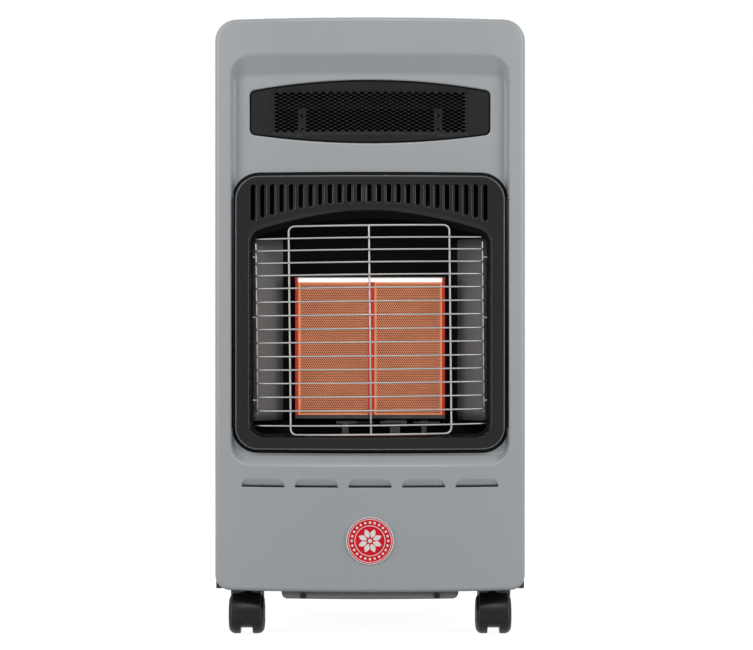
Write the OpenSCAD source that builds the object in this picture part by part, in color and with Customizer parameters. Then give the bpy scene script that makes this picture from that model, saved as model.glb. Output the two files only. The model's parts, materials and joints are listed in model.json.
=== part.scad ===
// Portable propane cabinet heater: an infrared gas heater in a steel cabinet on four casters.
// Millimetres, +Z up. The front faces -Y and the floor is z = 0.
// Depths in the code are measured from the crest of the bowed front panel towards the back.

/* [Cabinet] */
// Width over the front panel
body_w = 370; // [350:1:400]
// Height over the top of the cabinet
body_h = 735; // [725:1:780]
// Depth from the badge face to the rear cover louvres
body_d = 420; // [414:1:460]
// How far the front panel bows forward of its side edges
bow_rise = 30; // [22:1:34]
// Sheet thickness of the painted panels
sheet = 1; // [0.8:0.1:1.2]
// Height of the front panel's lower edge above the floor
panel_bottom = 54.5; // [54:0.5:62]
// Radius of the upper corners in front view
top_r = 30; // [20:1:40]
// Radius of the lower corners in front view
bottom_r = 18; // [10:1:24]
// Depth of the front panel's rim
front_depth = 52; // [48:1:54]
// Radius of the front panel's vertical edges
edge_r = 4; // [2:0.5:6]
// Clearance between one sheet tucked inside another
tuck_gap = 0.2; // [0.1:0.05:0.4]

/* [Front recess] */
// Half width of the recess at the panel face
recess_half = 166; // [164.5:0.5:168]
// Lower edge of the recess at the panel face
recess_bottom = 202.3; // [196:0.5:204]
// Distance from the cabinet top to the recess
recess_margin = 40.5; // [36:0.5:46]
// Depth of the recess floor below the panel face
recess_depth = 12; // [10:0.5:13]
// Corner radius of the recess
recess_r = 28; // [20:1:34]
// Height of the sloping shoulder at the top of the recess
top_shoulder = 28.5; // [20:0.5:30]
// Height of the sloping shoulder at the bottom of the recess
bottom_shoulder = 16.2; // [10:0.5:17]
// Width of the sloping shoulder at the sides of the recess
side_shoulder = 3; // [2:0.5:3.5]

/* [Outlet grille] */
// Half width of the lens-shaped window
win_half = 143.6; // [130:0.5:146]
// Distance from the top of the recess to the middle of the window
win_below = 70.5; // [70:0.5:76]
// Half height of the window in the middle
win_mid = 37.5; // [32:0.5:40]
// How much less the half height is at the ends
win_drop = 11.5; // [8:0.5:14]
// Corner radius of the window
win_r = 7; // [4:0.5:9]
// Thickness of the mesh sheet
mesh_t = 0.8; // [0.6:0.1:1]
// Half width of the open part of the mesh
mesh_half = 115.5; // [100:0.5:120]
// Half height of the open part of the mesh
mesh_mid = 23.5; // [18:0.5:24]
// Distance between mesh columns
mesh_pitch_x = 12.8; // [12:0.1:16]
// Distance between mesh rows in a column
mesh_pitch_z = 5.8; // [5.6:0.1:8]
// Length of a mesh hole
mesh_hole_w = 9; // [6:0.1:10]
// Height of a mesh hole
mesh_hole_h = 3.8; // [2.5:0.1:4.2]

/* [Fire surround] */
// Half width over the surround's flange
sur_half = 162.4; // [160:0.2:162.6]
// Lower edge of the surround
sur_bottom = 220; // [219.5:0.5:223]
// Distance from the top of the recess to the surround
sur_below = 143.5; // [138.5:0.5:148.5]
// Upper corner radius of the surround
sur_rt = 32; // [26:1:36]
// Lower corner radius of the surround
sur_rb = 30; // [24:1:34]
// How far the surround stands proud of the recess floor
sur_proud = 8; // [6:0.5:9]
// Width of the flange round the raised part
sur_flange = 3; // [2:0.5:4]
// Half width of the fire opening
open_half = 142; // [139.5:0.5:144]
// Lower edge of the fire opening
open_bottom = 238; // [236:0.5:242]
// Distance from the top of the surround to the crown of the opening
crown_below = 42.5; // [42:0.5:47]
// Radius of the arch
arch_r = 432; // [400:5:500]
// Upper corner radius of the opening
open_rt = 15; // [10:1:18]
// Lower corner radius of the opening
open_rb = 17; // [10:1:20]
// Number of slots above the arch
slot_count = 25; // [15:2:25]
// Distance between slots
slot_pitch = 11.5; // [10:0.1:11.6]
// Width of a slot
slot_w = 5; // [3:0.2:6]
// Distance from the top of the surround to the slots
slot_below = 13.5; // [11:0.5:19]
// Height of the slots' lower ends above the arch
slot_gap = 7.5; // [6:0.5:10]

/* [Wire guard] */
// Diameter of the horizontal rods
rod_d = 2.5; // [2:0.1:3]
// Diameter of the frame wire
frame_d = 3; // [2.5:0.1:3.5]
// Half length of the rods in front view
rod_half = 135.8; // [134.6:0.2:136.4]
// How far the guard bows forward over its length
guard_rise = 32; // [28:1:33]
// Depth of the rods' centres at the crest
guard_crest = 2; // [1.5:0.5:4]
// Half width of the rounded frame
frame_half = 95.5; // [80:0.5:110]
// Corner radius of the rounded frame
frame_r = 7; // [5:0.5:10]
/* [Front louvres] */
// Number of pressed louvres
louvre_count = 5; // [3:2:5]
// Distance between louvres
louvre_pitch = 63.5; // [56:0.5:66]
// Width of a louvre
louvre_w = 50; // [30:1:52]
// Top of the louvres
louvre_top = 188.5; // [186:0.5:192]
// Bottom of the louvres
louvre_bottom = 178.6; // [174:0.5:180]
// How deep the louvres are pressed in
louvre_depth = 6; // [4:0.5:8]
// Height of the open slit
louvre_slit = 1.5; // [1:0.1:2.5]

/* [Burner] */
// Width of one ceramic plaque
plaque_w = 85; // [80:0.5:87]
// Height of a plaque
plaque_h = 160; // [150:0.5:161]
// Thickness of a plaque
plaque_t = 13; // [11:0.5:14]
// Lower edge of the plaques
plaque_bottom = 262.5; // [262:0.5:265]
// Depth of the plaques' front face
plaque_d = 64.5; // [62:0.5:66]
// Distance between the holes of a plaque
perf_pitch = 6; // [5.6:0.1:9]
// Diameter of a plaque hole
perf_d = 2.2; // [1:0.1:3]
// Plain margin round the holes of a plaque
perf_margin = 5; // [4:0.5:8]
// Width of the divider between the plaques
divider_w = 4.4; // [3:0.2:6]

/* [Fire chamber] */
// Half width inside the firebox
box_half = 146.8; // [146.4:0.1:148]
// Lower inner face of the firebox
box_bottom = 230.8; // [229:0.2:232]
// Distance from the top of the surround to the firebox's upper inner face
box_below = 5; // [3:0.5:7]
// Depth of the firebox's back plate
box_d = 83.2; // [82:0.2:84]
// Sheet thickness of the firebox, duct and shields
thin = 0.8; // [0.6:0.1:1]

/* [Rear] */
// Depth of the heat shield
shield_d = 106; // [105.5:0.5:110]
// Distance from the cabinet top to the heat shield
shield_below = 95; // [90:5:135]
// Height of the rear louvres
rear_louvre = 4; // [3:0.5:5]
// Inside depth of the rear cover
cover_d = 10; // [8:0.5:12]
// Diameter of the cover's push-in studs
stud_d = 6; // [5:0.5:8]
// Radial clearance round the studs
stud_gap = 0.4; // [0.3:0.05:0.6]

/* [Hand grips] */
// Depth of the front end of the hand grips
grip_front = 165; // [150:1:175]
// Length of the hand grips
grip_len = 90; // [80:1:100]
// Height of the hand grips
grip_h = 32; // [28:1:34]
// Distance from the cabinet top to the hand grips
grip_below = 143; // [130:1:150]
// How far the hand grips reach into the cabinet
grip_deep = 22; // [18:1:24]

/* [Controls] */
// Distance of the control tray's middle from the cabinet's middle
tray_x = 85; // [70:1:92]
// Depth of the control tray's middle
tray_d = 320; // [300:1:330]
// Length of the control tray
tray_w = 150; // [140:1:160]
// Width of the control tray
tray_h = 66; // [60:1:72]
// How deep the control tray lies below its flange
tray_deep = 31; // [28:0.5:33]
// Diameter of the control knob
knob_d = 40; // [34:1:44]
// Height of the control knob
knob_h = 20; // [16:0.5:22]
// How far the knob pushes in
knob_push = 4; // [3:0.5:5]
// Diameter of the valve spindle
spindle_d = 6; // [5:0.5:8]
// Radial clearance of running fits
run_gap = 0.08; // [0.04:0.01:0.1]
// Diameter of the igniter button
button_d = 20; // [16:1:24]
// How far the igniter button pushes in
button_push = 8; // [5:0.5:9]

/* [Casters] */
// Distance of the front swivel stems from the cabinet's sides
stem_in = 37; // [35:1:45]
// Distance of the rear swivel stems from the cabinet's sides
rear_stem_in = 23; // [23:1:35]
// Depth of the front stems
front_stem_d = 73; // [72:1:80]
// Depth of the rear stems
rear_stem_d = 352; // [340:1:358]
// Wheel diameter
wheel_d = 48; // [44:1:49]
// Wheel width
wheel_w = 14.2; // [12:0.2:15]
// Width of the hood's web between the wheels
web_w = 13.2; // [12:0.2:14]
// Offset between stem and axle
trail = 16; // [14:0.5:18]
// Diameter of the swivel stem
stem_dia = 8; // [7:0.5:9]
// Diameter of the axle
axle_d = 6; // [5:0.5:8]

/* [Badge] */
// Badge radius
badge_r = 28; // [20:0.5:34]
// Height of the badge's middle
badge_z = 115.7; // [100:0.5:130]
// How far the badge stands proud of the crest
badge_proud = 1.4; // [1:0.1:2]

/* [Hidden] */
curve = 256;
small = 48;
crest_y = -body_d / 2 + badge_proud;
half_w = body_w / 2;
bow_r = (half_w * half_w + bow_rise * bow_rise) / (2 * bow_rise);
floor_in = recess_depth + sheet;
recess_top = body_h - recess_margin;
floor_top = recess_top - top_shoulder;
floor_bottom = recess_bottom + bottom_shoulder;
win_z = recess_top - win_below;
win_arc = (win_half * win_half + win_drop * win_drop) / (2 * win_drop);
sur_top = recess_top - sur_below;
open_crown = sur_top - crown_below;
slot_top = sur_top - slot_below;
box_top = sur_top - box_below;
arch_z = open_crown - arch_r;
round_lift = 0.06;
guard_r = (rod_half * rod_half + guard_rise * guard_rise) / (2 * guard_rise);
frame_bottom = open_bottom + 3;
frame_top = open_crown - 19.1;
// heights of the rods above the frame's lower wire; a taller guard gets more of them
rod_steps = [
  10.8, 28.5, 44.9, 61.2, 77.3, 93.2, 109.6, 125.6, 142, 158.2, 174.4, 189.8, 204.6, 219.3, 233.5
];
rod_more = [for (i = [1:20]) rod_steps[len(rod_steps) - 1] + 15.5 * i];
rod_z = [for (h = concat(rod_steps, rod_more)) if (frame_bottom + h < frame_top - 10) frame_bottom + h];
side_wire_x = rod_half - 2.4;
side_wire_z = [frame_bottom + 22, frame_top - 26.4];
side_wire_mid = (side_wire_z[0] + side_wire_z[1]) / 2;
tail_z = [side_wire_z[0] + 14.5, side_wire_mid + 12, side_wire_z[1] - 10.5];
weld = 0.3;
wire_back = rod_d / 2 + frame_d / 2 - weld;
frame_arc_r = guard_r - wire_back;
frame_arc_x = frame_half - frame_r * cos(asin(frame_half / guard_r));
frame_arc_a = asin(frame_arc_x / frame_arc_r);
frame_x = frame_arc_x + frame_r * cos(frame_arc_a);
frame_d_at = guard_crest + guard_r - frame_arc_r * cos(frame_arc_a) + frame_r * sin(frame_arc_a);
side_d = guard_crest + guard_r - sqrt(guard_r * guard_r - side_wire_x * side_wire_x)
  + wire_back / cos(asin(side_wire_x / guard_r));
tray_rim = 18.5;
tray_front = front_depth + 0.3;
collar = 3;
tray_t = 1.2;
tray_top = panel_bottom + tray_t;
rear_d = body_d - badge_proud - rear_louvre - sheet - cover_d - 0.6;
skin_out = sheet + tuck_gap;
skin_in = skin_out + sheet;
skin_front = front_depth - 12;
screw_x = 79.5;
kick_half = 105;
kick_in = 6;
kick_t = 1.2;
kick_bottom = panel_bottom - 8.5;
kick_screw_z = panel_bottom - 4.4;
joint_z = body_h - 35;
side_z0 = tray_top + 3.3;
cross_z0 = body_h - 98;
cross_lip = 13;
cover_x = half_w - 9;
cover_z0 = panel_bottom + 5.5;
cover_z1 = cross_z0 + 15;
cover_louvre_x = 82;
cover_louvre_w = 120;
cover_rows = [cover_z0 + 70, cover_z1 - 300];
screw_rows = [cross_z0 + 30, cross_z0 + 55];
stud_x = 150;
stud_z = [cover_z0 + 6.5, cross_z0 + 6];
stud_len = 20;
frame_out = divider_w / 2 + plaque_w + 3;
frame_z = [plaque_bottom - 4.5, plaque_bottom + plaque_h + 6.5];
frame_t = 1.2;
plenum_half = 86.5;
plenum_z = [plaque_bottom + 2, plaque_bottom + plaque_h - 2];
plenum_front = plaque_d + plaque_t + 0.2;
plenum_back = shield_d - 3;
shield_top = body_h - shield_below;
reflector_z = [box_bottom + 25.2, box_top - 84];
vent_z = [box_top - 76, box_top - 36];
gas_d = 94;
venturi_z = 222;
venturi_bend = 22;
tube_od = 17;
pipe_od = 8;
pipe_x = 115;
pipe_z = body_h - 67;
pilot_od = 4;
pilot_x = 104;
pilot_z = 242;
pilot_end_x = 30;
pilot_d = 70;
injector_x = 92;
pilot_top = body_h - 51;
tray_floor = body_h - tray_deep;
tray_wall = 2;
knob_x = tray_x + 30;
button_x = tray_x - 35;
knob_z = tray_floor + knob_push + 0.4;
button_z = tray_floor + button_push + 0.5;
valve_z = [body_h - 80, body_h - 36];
valve_half = 17;
inlet_z = valve_z[0] + 7.5;
pilot_tube_z = plaque_bottom - 9.5;
flat_x = knob_x + spindle_d / 2 - 1;
piezo_top = tray_floor - tray_wall - 3;
piezo_len = 30;
kick_back = kick_in + kick_t;
axle_z = wheel_d / 2;
stem_x = half_w - stem_in;
rear_stem_x = half_w - rear_stem_in;
mount_half = 18;
shield_slot_z = [panel_bottom + 45.5, panel_bottom + 129.5];
fender_in = wheel_d / 2 + 0.6;
fender_out = fender_in + 1.4;
wheel_in = web_w / 2 + 0.6;
wheel_round = 8;
hood_half = wheel_in + wheel_w - wheel_round / 2;
mount_t = 2;
grip_d = [grip_front, grip_front + grip_len];
grip_z = [body_h - grip_below - grip_h, body_h - grip_below];
duct_x = 150;
duct_back = 88;
plenum_x = [-plenum_half, plenum_half];
deflector_x = 82;
deflector_d = duct_back - 26;
leg_d = duct_back - 27;
paint = [0.62, 0.64, 0.65];
black = [0.09, 0.09, 0.09];
steel = [0.55, 0.56, 0.58];
brass = [0.72, 0.58, 0.28];
ceramic = [0.85, 0.5, 0.35];

// Depth of a surface that lies `inset` behind the bowed face, at distance x from the middle
function bow_at(x, inset) = bow_r - sqrt(pow(bow_r - inset, 2) - x * x);

// Depth of the guard's rods at x
function guard_at(x) = guard_crest + guard_r - sqrt(guard_r * guard_r - x * x);

// A pair of limits moved apart by g
function around(p, g) = [p[0] - g, p[1] + g];

// Points of a line shifted sideways by t, with mitred corners
function unit(v) = v / norm(v);
function side(a, b) = let (u = unit(b - a)) [-u[1], u[0]];
function miter(p, i, t) = let (
    n0 = i == 0 ? side(p[0], p[1]) : side(p[i - 1], p[i]),
    n1 = i == len(p) - 1 ? n0 : side(p[i], p[i + 1]),
    m = unit(n0 + n1)
  ) p[i] + m * (t / (m * n1));
function strip(p, t) = concat(p, [for (i = [len(p) - 1:-1:0]) miter(p, i, t)]);

// ---- placing helpers ----

// Extrudes a front-view outline (x, z) between two depths
module across(d0, d1) {
  translate([0, crest_y + d1, 0]) rotate([90, 0, 0]) linear_extrude(d1 - d0) children();
}

// Extrudes a plan outline (x, depth) between two heights
module upward(z0, z1) {
  translate([0, crest_y, z0]) linear_extrude(z1 - z0) children();
}

// Extrudes a side-view outline (depth, z) between two x positions
module sideways(x0, x1) {
  translate([x0, crest_y, 0]) rotate([90, 0, 90]) linear_extrude(x1 - x0) children();
}

// A box given by its x, depth and z limits
module block(x, d, z) {
  translate([x[0], crest_y + d[0], z[0]]) cube([x[1] - x[0], d[1] - d[0], z[1] - z[0]]);
}

// Everything behind the surface that lies `inset` behind the bowed face
module bow(inset, z0, z1) {
  translate([0, crest_y + bow_r, z0]) cylinder(r = bow_r - inset, h = z1 - z0, $fn = curve);
}

// A bowed sheet between two insets
module bow_sheet(i0, i1, z0, z1) {
  difference() {
    bow(i0, z0, z1);
    bow(i1, z0 - 1, z1 + 1);
  }
}

// Moves to the bowed face at distance x along the chord, with +y pointing inwards
module on_bow(x) {
  translate([0, crest_y + bow_r, 0]) rotate([0, 0, asin(x / bow_r)]) translate([0, -bow_r, 0]) children();
}

// A rod along z, x or y with its start given as x, depth, z
module rod_up(x, d, z0, z1, dia) {
  translate([x, crest_y + d, z0]) cylinder(d = dia, h = z1 - z0, $fn = small);
}
module rod_right(x0, x1, d, z, dia) {
  translate([x0, crest_y + d, z]) rotate([0, 90, 0]) cylinder(d = dia, h = x1 - x0, $fn = small);
}
module rod_back(x, d0, d1, z, dia) {
  translate([x, crest_y + d1, z]) rotate([90, 0, 0]) cylinder(d = dia, h = d1 - d0, $fn = small);
}

// ---- outlines ----

// A front-view plate with its own upper and lower corner radii
module plate2d(half, z0, z1, rt, rb) {
  translate([-half, z0 + rb]) square([2 * half, z1 - rt - z0 - rb]);
  translate([-half + rt, z0 + rb]) square([2 * (half - rt), z1 - z0 - rb]);
  translate([-half + rb, z0]) square([2 * (half - rb), z1 - rt - z0]);
  for (s = [-1, 1]) {
    translate([s * (half - rt), z1 - rt]) circle(r = rt, $fn = small * 2);
    translate([s * (half - rb), z0 + rb]) circle(r = rb, $fn = small * 2);
  }
}

// The lens of the outlet window, grown by g all round
module lens2d(g) {
  arc = win_arc + g;
  cx = win_half - win_r;
  cz = win_mid - win_arc + sqrt(pow(win_arc - win_r, 2) - cx * cx) + round_lift;
  reach = cx * arc / (win_arc - win_r);
  translate([0, win_z]) {
    intersection() {
      translate([0, win_mid - win_arc]) circle(r = arc, $fn = curve);
      translate([0, win_arc - win_mid]) circle(r = arc, $fn = curve);
      square([2 * reach, 4 * win_mid], center = true);
    }
    square([2 * (win_half + g), 2 * cz], center = true);
    for (s = [-1, 1], t = [-1, 1]) {
      translate([s * cx, t * cz]) circle(r = win_r + g, $fn = small);
    }
  }
}

// The arched fire opening, grown by g all round
module arch2d(g) {
  ux = open_half - open_rt;
  uz = arch_z + sqrt(pow(arch_r - open_rt, 2) - ux * ux) + round_lift;
  lx = open_half - open_rb;
  lz = open_bottom + open_rb;
  reach = ux * (arch_r + g) / (arch_r - open_rt);
  intersection() {
    translate([0, arch_z]) circle(r = arch_r + g, $fn = curve);
    translate([-reach, lz]) square([2 * reach, 400]);
  }
  translate([-open_half - g, lz]) square([2 * (open_half + g), uz - lz]);
  translate([-lx, open_bottom - g]) square([2 * lx, open_rb + g + 1]);
  for (s = [-1, 1]) {
    translate([s * ux, uz]) circle(r = open_rt + g, $fn = small);
    translate([s * lx, lz]) circle(r = open_rb + g, $fn = small);
  }
}

// A slot with round ends, standing on end
module slot2d(x, z0, z1, w) {
  translate([x - w / 2, z0 + w / 2]) square([w, z1 - z0 - w]);
  translate([x, z0 + w / 2]) circle(d = w, $fn = small);
  translate([x, z1 - w / 2]) circle(d = w, $fn = small);
}

// ---- cabinet ----

// Plan outline of the front panel, drawn g inside its outer skin, with rounded vertical edges
module front_plan2d(g) {
  cx = half_w - edge_r;
  cd = bow_r - sqrt(pow(bow_r - edge_r, 2) - cx * cx);
  reach = cx * (bow_r - g) / (bow_r - edge_r);
  intersection() {
    translate([0, bow_r]) circle(r = bow_r - g, $fn = curve);
    translate([-reach, -5]) square([2 * reach, front_depth + 25]);
  }
  translate([-half_w + g, cd]) square([body_w - 2 * g, front_depth + 20 - cd]);
  for (s = [-1, 1]) {
    translate([s * cx, cd]) circle(r = edge_r - g, $fn = small);
  }
}

// The space in front of the recess, grown by g
module recess_form(g) {
  st = top_shoulder / recess_depth;
  sb = bottom_shoulder / recess_depth;
  ss = side_shoulder / recess_depth;
  up = floor_top + g * sqrt(1 + st * st);
  down = floor_bottom - g * sqrt(1 + sb * sb);
  rf = bow_r - recess_depth;
  wide = recess_half + g * sqrt(1 + ss * ss);
  near = bow_at(recess_half, 0);
  intersection() {
    translate([0, crest_y + bow_r, 0]) rotate_extrude($fn = curve)
      polygon([
        [rf - g, down + g * sb], [rf - g, up - g * st], [rf + 20, up + 20 * st], [rf + 20, down - 20 * sb]
      ]);
    across(-10, 60) plate2d(recess_half + g, recess_bottom - g, recess_top + g, recess_r + g, recess_r + g);
    upward(recess_bottom - 5, recess_top + 5)
      polygon([[-wide - (near + 10) * ss, -10], [wide + (near + 10) * ss, -10],
        [wide - (60 - near) * ss, 60], [-wide + (60 - near) * ss, 60]]);
  }
}

module front_form(g) {
  difference() {
    intersection() {
      upward(panel_bottom - 5, body_h + 5) front_plan2d(g);
      across(-2, front_depth + g * 10)
        plate2d(half_w - g, panel_bottom + g, body_h - g, top_r - g, bottom_r - g);
    }
    recess_form(g);
  }
}

function louvre_slope() = (louvre_top - louvre_bottom - louvre_slit) / louvre_depth;

module louvre_hood() {
  k = louvre_slope();
  lift = sheet * sqrt(1 + k * k);
  translate([-louvre_w / 2 - sheet, 0, 0]) rotate([90, 0, 90]) linear_extrude(louvre_w + 2 * sheet)
    polygon([[0.5, louvre_bottom], [0.5, louvre_top + lift - 0.5 * k],
      [louvre_depth, louvre_bottom + louvre_slit + lift], [louvre_depth, louvre_bottom]]);
}

module louvre_void() {
  k = louvre_slope();
  z1 = louvre_bottom + louvre_slit;
  translate([-louvre_w / 2, 0, 0]) rotate([90, 0, 90]) linear_extrude(louvre_w)
    polygon([[-3, louvre_bottom], [-3, louvre_top + 3 * k], [louvre_depth, z1],
      [louvre_depth + 3, z1], [louvre_depth + 3, louvre_bottom]]);
}

// Where each front louvre sits along the bow
function louvre_x(i) = (i - (louvre_count - 1) / 2) * louvre_pitch;

module front_panel() {
  color(paint) difference() {
    union() {
      difference() {
        front_form(0);
        front_form(sheet);
      }
      for (i = [0:louvre_count - 1]) {
        on_bow(louvre_x(i)) louvre_hood();
      }
      // lugs that the kick plate's screws bite into
      for (s = [-1, 1]) {
        intersection() {
          bow_sheet(kick_back + 0.1, kick_back + 2.5, kick_bottom + 1, panel_bottom + sheet / 2);
          block([s * screw_x - 8, s * screw_x + 8], [0, 60], [kick_bottom + 1, panel_bottom + 1]);
        }
      }
    }
    across(0, 50) lens2d(0);
    across(0, 50) plate2d(box_half, box_bottom, sur_top - 8, sur_rt - 6, sur_rb - 8);
    for (i = [0:louvre_count - 1]) {
      on_bow(louvre_x(i)) louvre_void();
    }
    for (s = [-1, 1]) {
      rod_back(s * screw_x, 0, 30, kick_screw_z, 3);
    }
  }
}

// The cabinet's skin behind the front panel, between two insets from its outline
module skin(i0, i1, d0, d1) {
  difference() {
    across(d0, d1) plate2d(half_w - i0, panel_bottom + i0, body_h - i0, top_r - i0, bottom_r - i0);
    across(d0 - 1, d1 + 1) plate2d(half_w - i1, panel_bottom + i1, body_h - i1, top_r - i1, bottom_r - i1);
  }
}

// Right-hand side panel; the left one is its mirror image
module side_sheet() {
  x0 = half_w - skin_in;
  x1 = half_w - skin_out;
  difference() {
    union() {
      block([x0, x1], [skin_front, rear_d], [side_z0, joint_z - 0.3]);
      block([x0 - 20, x1], [rear_d - sheet, rear_d], [side_z0, joint_z - 0.3]);
      // joggled tongue behind the top panel's edge
      block([x0 - sheet, x0], [front_depth + 2, rear_d - 3], [joint_z - 12, joint_z + 4]);
      // collar turned in round the hand grip's cut-out
      block([x0 - collar, x0 + sheet / 2], around(grip_d, sheet), around(grip_z, sheet));
    }
    block([x0 - 5, x1 + 5], grip_d, grip_z);
    // relief behind the front panel's rounded lower corner and the tray's front rim
    block([x0 - 5, x1 + 5], [0, tray_front + sheet + tuck_gap],
      [0, panel_bottom + max(tray_rim, bottom_r) + tuck_gap]);
    // relief round the rear rim of the base tray
    block([x0 - 40, x1 + 5], [rear_d - sheet - tuck_gap, body_d], [0, panel_bottom + tray_rim + tuck_gap]);
    // two rows of vent slots beside the fire chamber
    for (z = vent_z, i = [0:8]) {
      block([x0 - 5, x1 + 5], [70 + 9 * i, 74 + 9 * i], [z, z + 26]);
    }
    for (i = [0:1]) {
      rod_back(x0 - 10, rear_d - 5, rear_d + 5, screw_rows[i], 3.4);
    }
  }
}

module left_side_panel() {
  color(paint) mirror([1, 0, 0]) side_sheet();
}

module right_side_panel() {
  color(paint) side_sheet();
}

module top_panel() {
  color(paint) difference() {
    union() {
      intersection() {
        skin(skin_out, skin_in, skin_front, rear_d);
        block([-half_w, half_w], [0, body_d], [joint_z, body_h]);
      }
      // turned-down rear edge
      intersection() {
        across(rear_d - sheet, rear_d) plate2d(half_w - skin_out, panel_bottom + 9, body_h - skin_out,
          top_r - skin_out, bottom_r);
        block([-half_w, half_w], [0, body_d], [body_h - 18, body_h]);
      }
    }
    block([tray_x - tray_w / 2 - 0.3, tray_x + tray_w / 2 + 0.3],
      [tray_d - tray_h / 2 - 0.3, tray_d + tray_h / 2 + 0.3], [body_h - 2 * skin_in, body_h + skin_in]);
  }
}

module rear_crosspiece() {
  color(black) difference() {
    union() {
      across(rear_d - 2 * sheet, rear_d - sheet)
        plate2d(half_w - skin_in - 2 * tuck_gap, cross_z0, body_h - skin_in - 6, top_r - 6, 2);
      // stiffening lip along the lower edge
      block([-stud_x, stud_x], [rear_d - sheet - cross_lip, rear_d - sheet], [cross_z0, cross_z0 + sheet]);
    }
    for (i = [0:1], s = [-1, 1]) {
      rod_back(s * (half_w - skin_in - 10), rear_d - 5, rear_d + 5, screw_rows[i], 3.4);
    }
    for (s = [-1, 1]) {
      rod_back(s * stud_x, rear_d - 20, rear_d + 5, stud_z[1], stud_d + 2 * stud_gap);
    }
    for (i = [-10:10]) {
      across(rear_d - 5, rear_d + 5) slot2d(i * 12, cross_z0 + 26, cross_z0 + 66, 5);
    }
  }
}

module base_tray() {
  x1 = half_w - 0.1;
  color(black) difference() {
    block([-x1, x1], [tray_front, rear_d], [panel_bottom, panel_bottom + tray_rim]);
    block([-x1 + sheet, x1 - sheet], [tray_front + sheet, rear_d - sheet], [tray_top, panel_bottom + 100]);
    for (s = [-1, 1], i = [0:5]) {
      upward(panel_bottom - 5, tray_top + 5) translate([s * 75, 128 + 44 * i]) {
        square([70, 8], center = true);
        translate([-35, 0]) circle(d = 8, $fn = small);
        translate([35, 0]) circle(d = 8, $fn = small);
      }
    }
    for (s = [-1, 1]) {
      rod_back(s * stud_x, rear_d - 5, rear_d + 5, stud_z[0], stud_d + 2 * stud_gap);
    }
  }
}

module kick_plate() {
  color(paint) difference() {
    union() {
      intersection() {
        bow_sheet(kick_in, kick_in + kick_t, kick_bottom - 5, panel_bottom);
        across(0, 40) plate2d(kick_half, kick_bottom, panel_bottom + 20, 2, 7);
      }
      intersection() {
        bow(kick_in, kick_bottom, panel_bottom + 5);
        block([-60, 60], [0, front_depth + 40], [panel_bottom - kick_t, panel_bottom]);
      }
    }
    for (s = [-1, 1]) {
      rod_back(s * screw_x, 0, 30, kick_screw_z, 4);
    }
  }
}

module kick_plate_screws() {
  d0 = bow_at(screw_x, kick_in);
  color(black) for (s = [-1, 1]) {
    difference() {
      union() {
        rod_back(s * screw_x, d0 - 2, d0 - 0.6, kick_screw_z, 7);
        rod_back(s * screw_x, d0 - 1, d0 + 6, kick_screw_z, 2.9);
      }
      translate([s * screw_x, crest_y + d0 - 2, kick_screw_z]) cube([4.4, 1.6, 0.9], center = true);
      translate([s * screw_x, crest_y + d0 - 2, kick_screw_z]) cube([0.9, 1.6, 4.4], center = true);
    }
  }
}

module case_screws() {
  color(steel) for (s = [-1, 1], i = [0:1]) {
    difference() {
      union() {
        rod_back(s * (half_w - skin_in - 10), rear_d, rear_d + 2, screw_rows[i], 7);
        rod_back(s * (half_w - skin_in - 10), rear_d - 8, rear_d + 1, screw_rows[i], 3.2);
      }
      translate([s * (half_w - skin_in - 10), crest_y + rear_d + 2, screw_rows[i]])
        cube([4.4, 1.6, 0.9], center = true);
    }
  }
}

// One outward louvre of the rear cover, from its lower lip up to its root
module cover_louvre(x, z, w) {
  d = rear_d + 0.6 + cover_d;
  sideways(x - w / 2, x + w / 2)
    polygon([[d + sheet - 0.5, z], [d + sheet + rear_louvre, z], [d + sheet + rear_louvre, z + 2],
      [d + sheet - 0.5, z + 15]]);
}

module cover_louvre_void(x, z, w) {
  d = rear_d + 0.6 + cover_d;
  out = d + rear_louvre;
  sideways(x - w / 2 + sheet, x + w / 2 - sheet)
    polygon([[d - 3, z - 1], [out, z - 1], [out, z + 1.4], [d, z + 13.2], [d - 3, z + 13.2]]);
}

module rear_cover() {
  d0 = rear_d + 0.3;
  d1 = rear_d + 0.6 + cover_d + sheet;
  color(paint) difference() {
    union() {
      difference() {
        across(d0, d1) plate2d(cover_x, cover_z0, cover_z1, 12, 12);
        across(d0 - 1, d1 - sheet) plate2d(cover_x - sheet, cover_z0 + sheet, cover_z1 - sheet, 11, 11);
      }
      for (s = [-1, 1], z = cover_rows, i = [0:5]) {
        cover_louvre(s * cover_louvre_x, z + 24 * i, cover_louvre_w);
      }
      for (s = [-1, 1], z = stud_z) {
        rod_back(s * stud_x, d1 - stud_len, d1 - sheet / 2, z, stud_d);
      }
    }
    for (s = [-1, 1], z = cover_rows, i = [0:5]) {
      cover_louvre_void(s * cover_louvre_x, z + 24 * i, cover_louvre_w);
    }
    // finger slot for lifting the cover away
    across(d1 - 5, d1 + 5) plate2d(40, cover_z1 - 60, cover_z1 - 38, 10, 10);
  }
}

// Recessed hand grip in the right side; the left one is its mirror image
module grip_form() {
  x1 = half_w - skin_out;
  color(black) difference() {
    union() {
      block([x1, half_w], around(grip_d, 4), around(grip_z, 4));
      block([x1 - grip_deep, x1 + 0.5], around(grip_d, -0.3), around(grip_z, -0.3));
    }
    block([x1 - grip_deep + 2, half_w + 5], around(grip_d, -2.3), around(grip_z, -2.3));
  }
}

module left_grip() {
  mirror([1, 0, 0]) grip_form();
}

module right_grip() {
  grip_form();
}

// One pointed petal of the badge's flower, from the middle outwards
module petal2d(len, wide) {
  r = (len * len / 4 + wide * wide / 4) / wide;
  intersection() {
    translate([r - wide / 2, len / 2]) circle(r = r, $fn = small * 2);
    translate([wide / 2 - r, len / 2]) circle(r = r, $fn = small * 2);
  }
}

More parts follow.
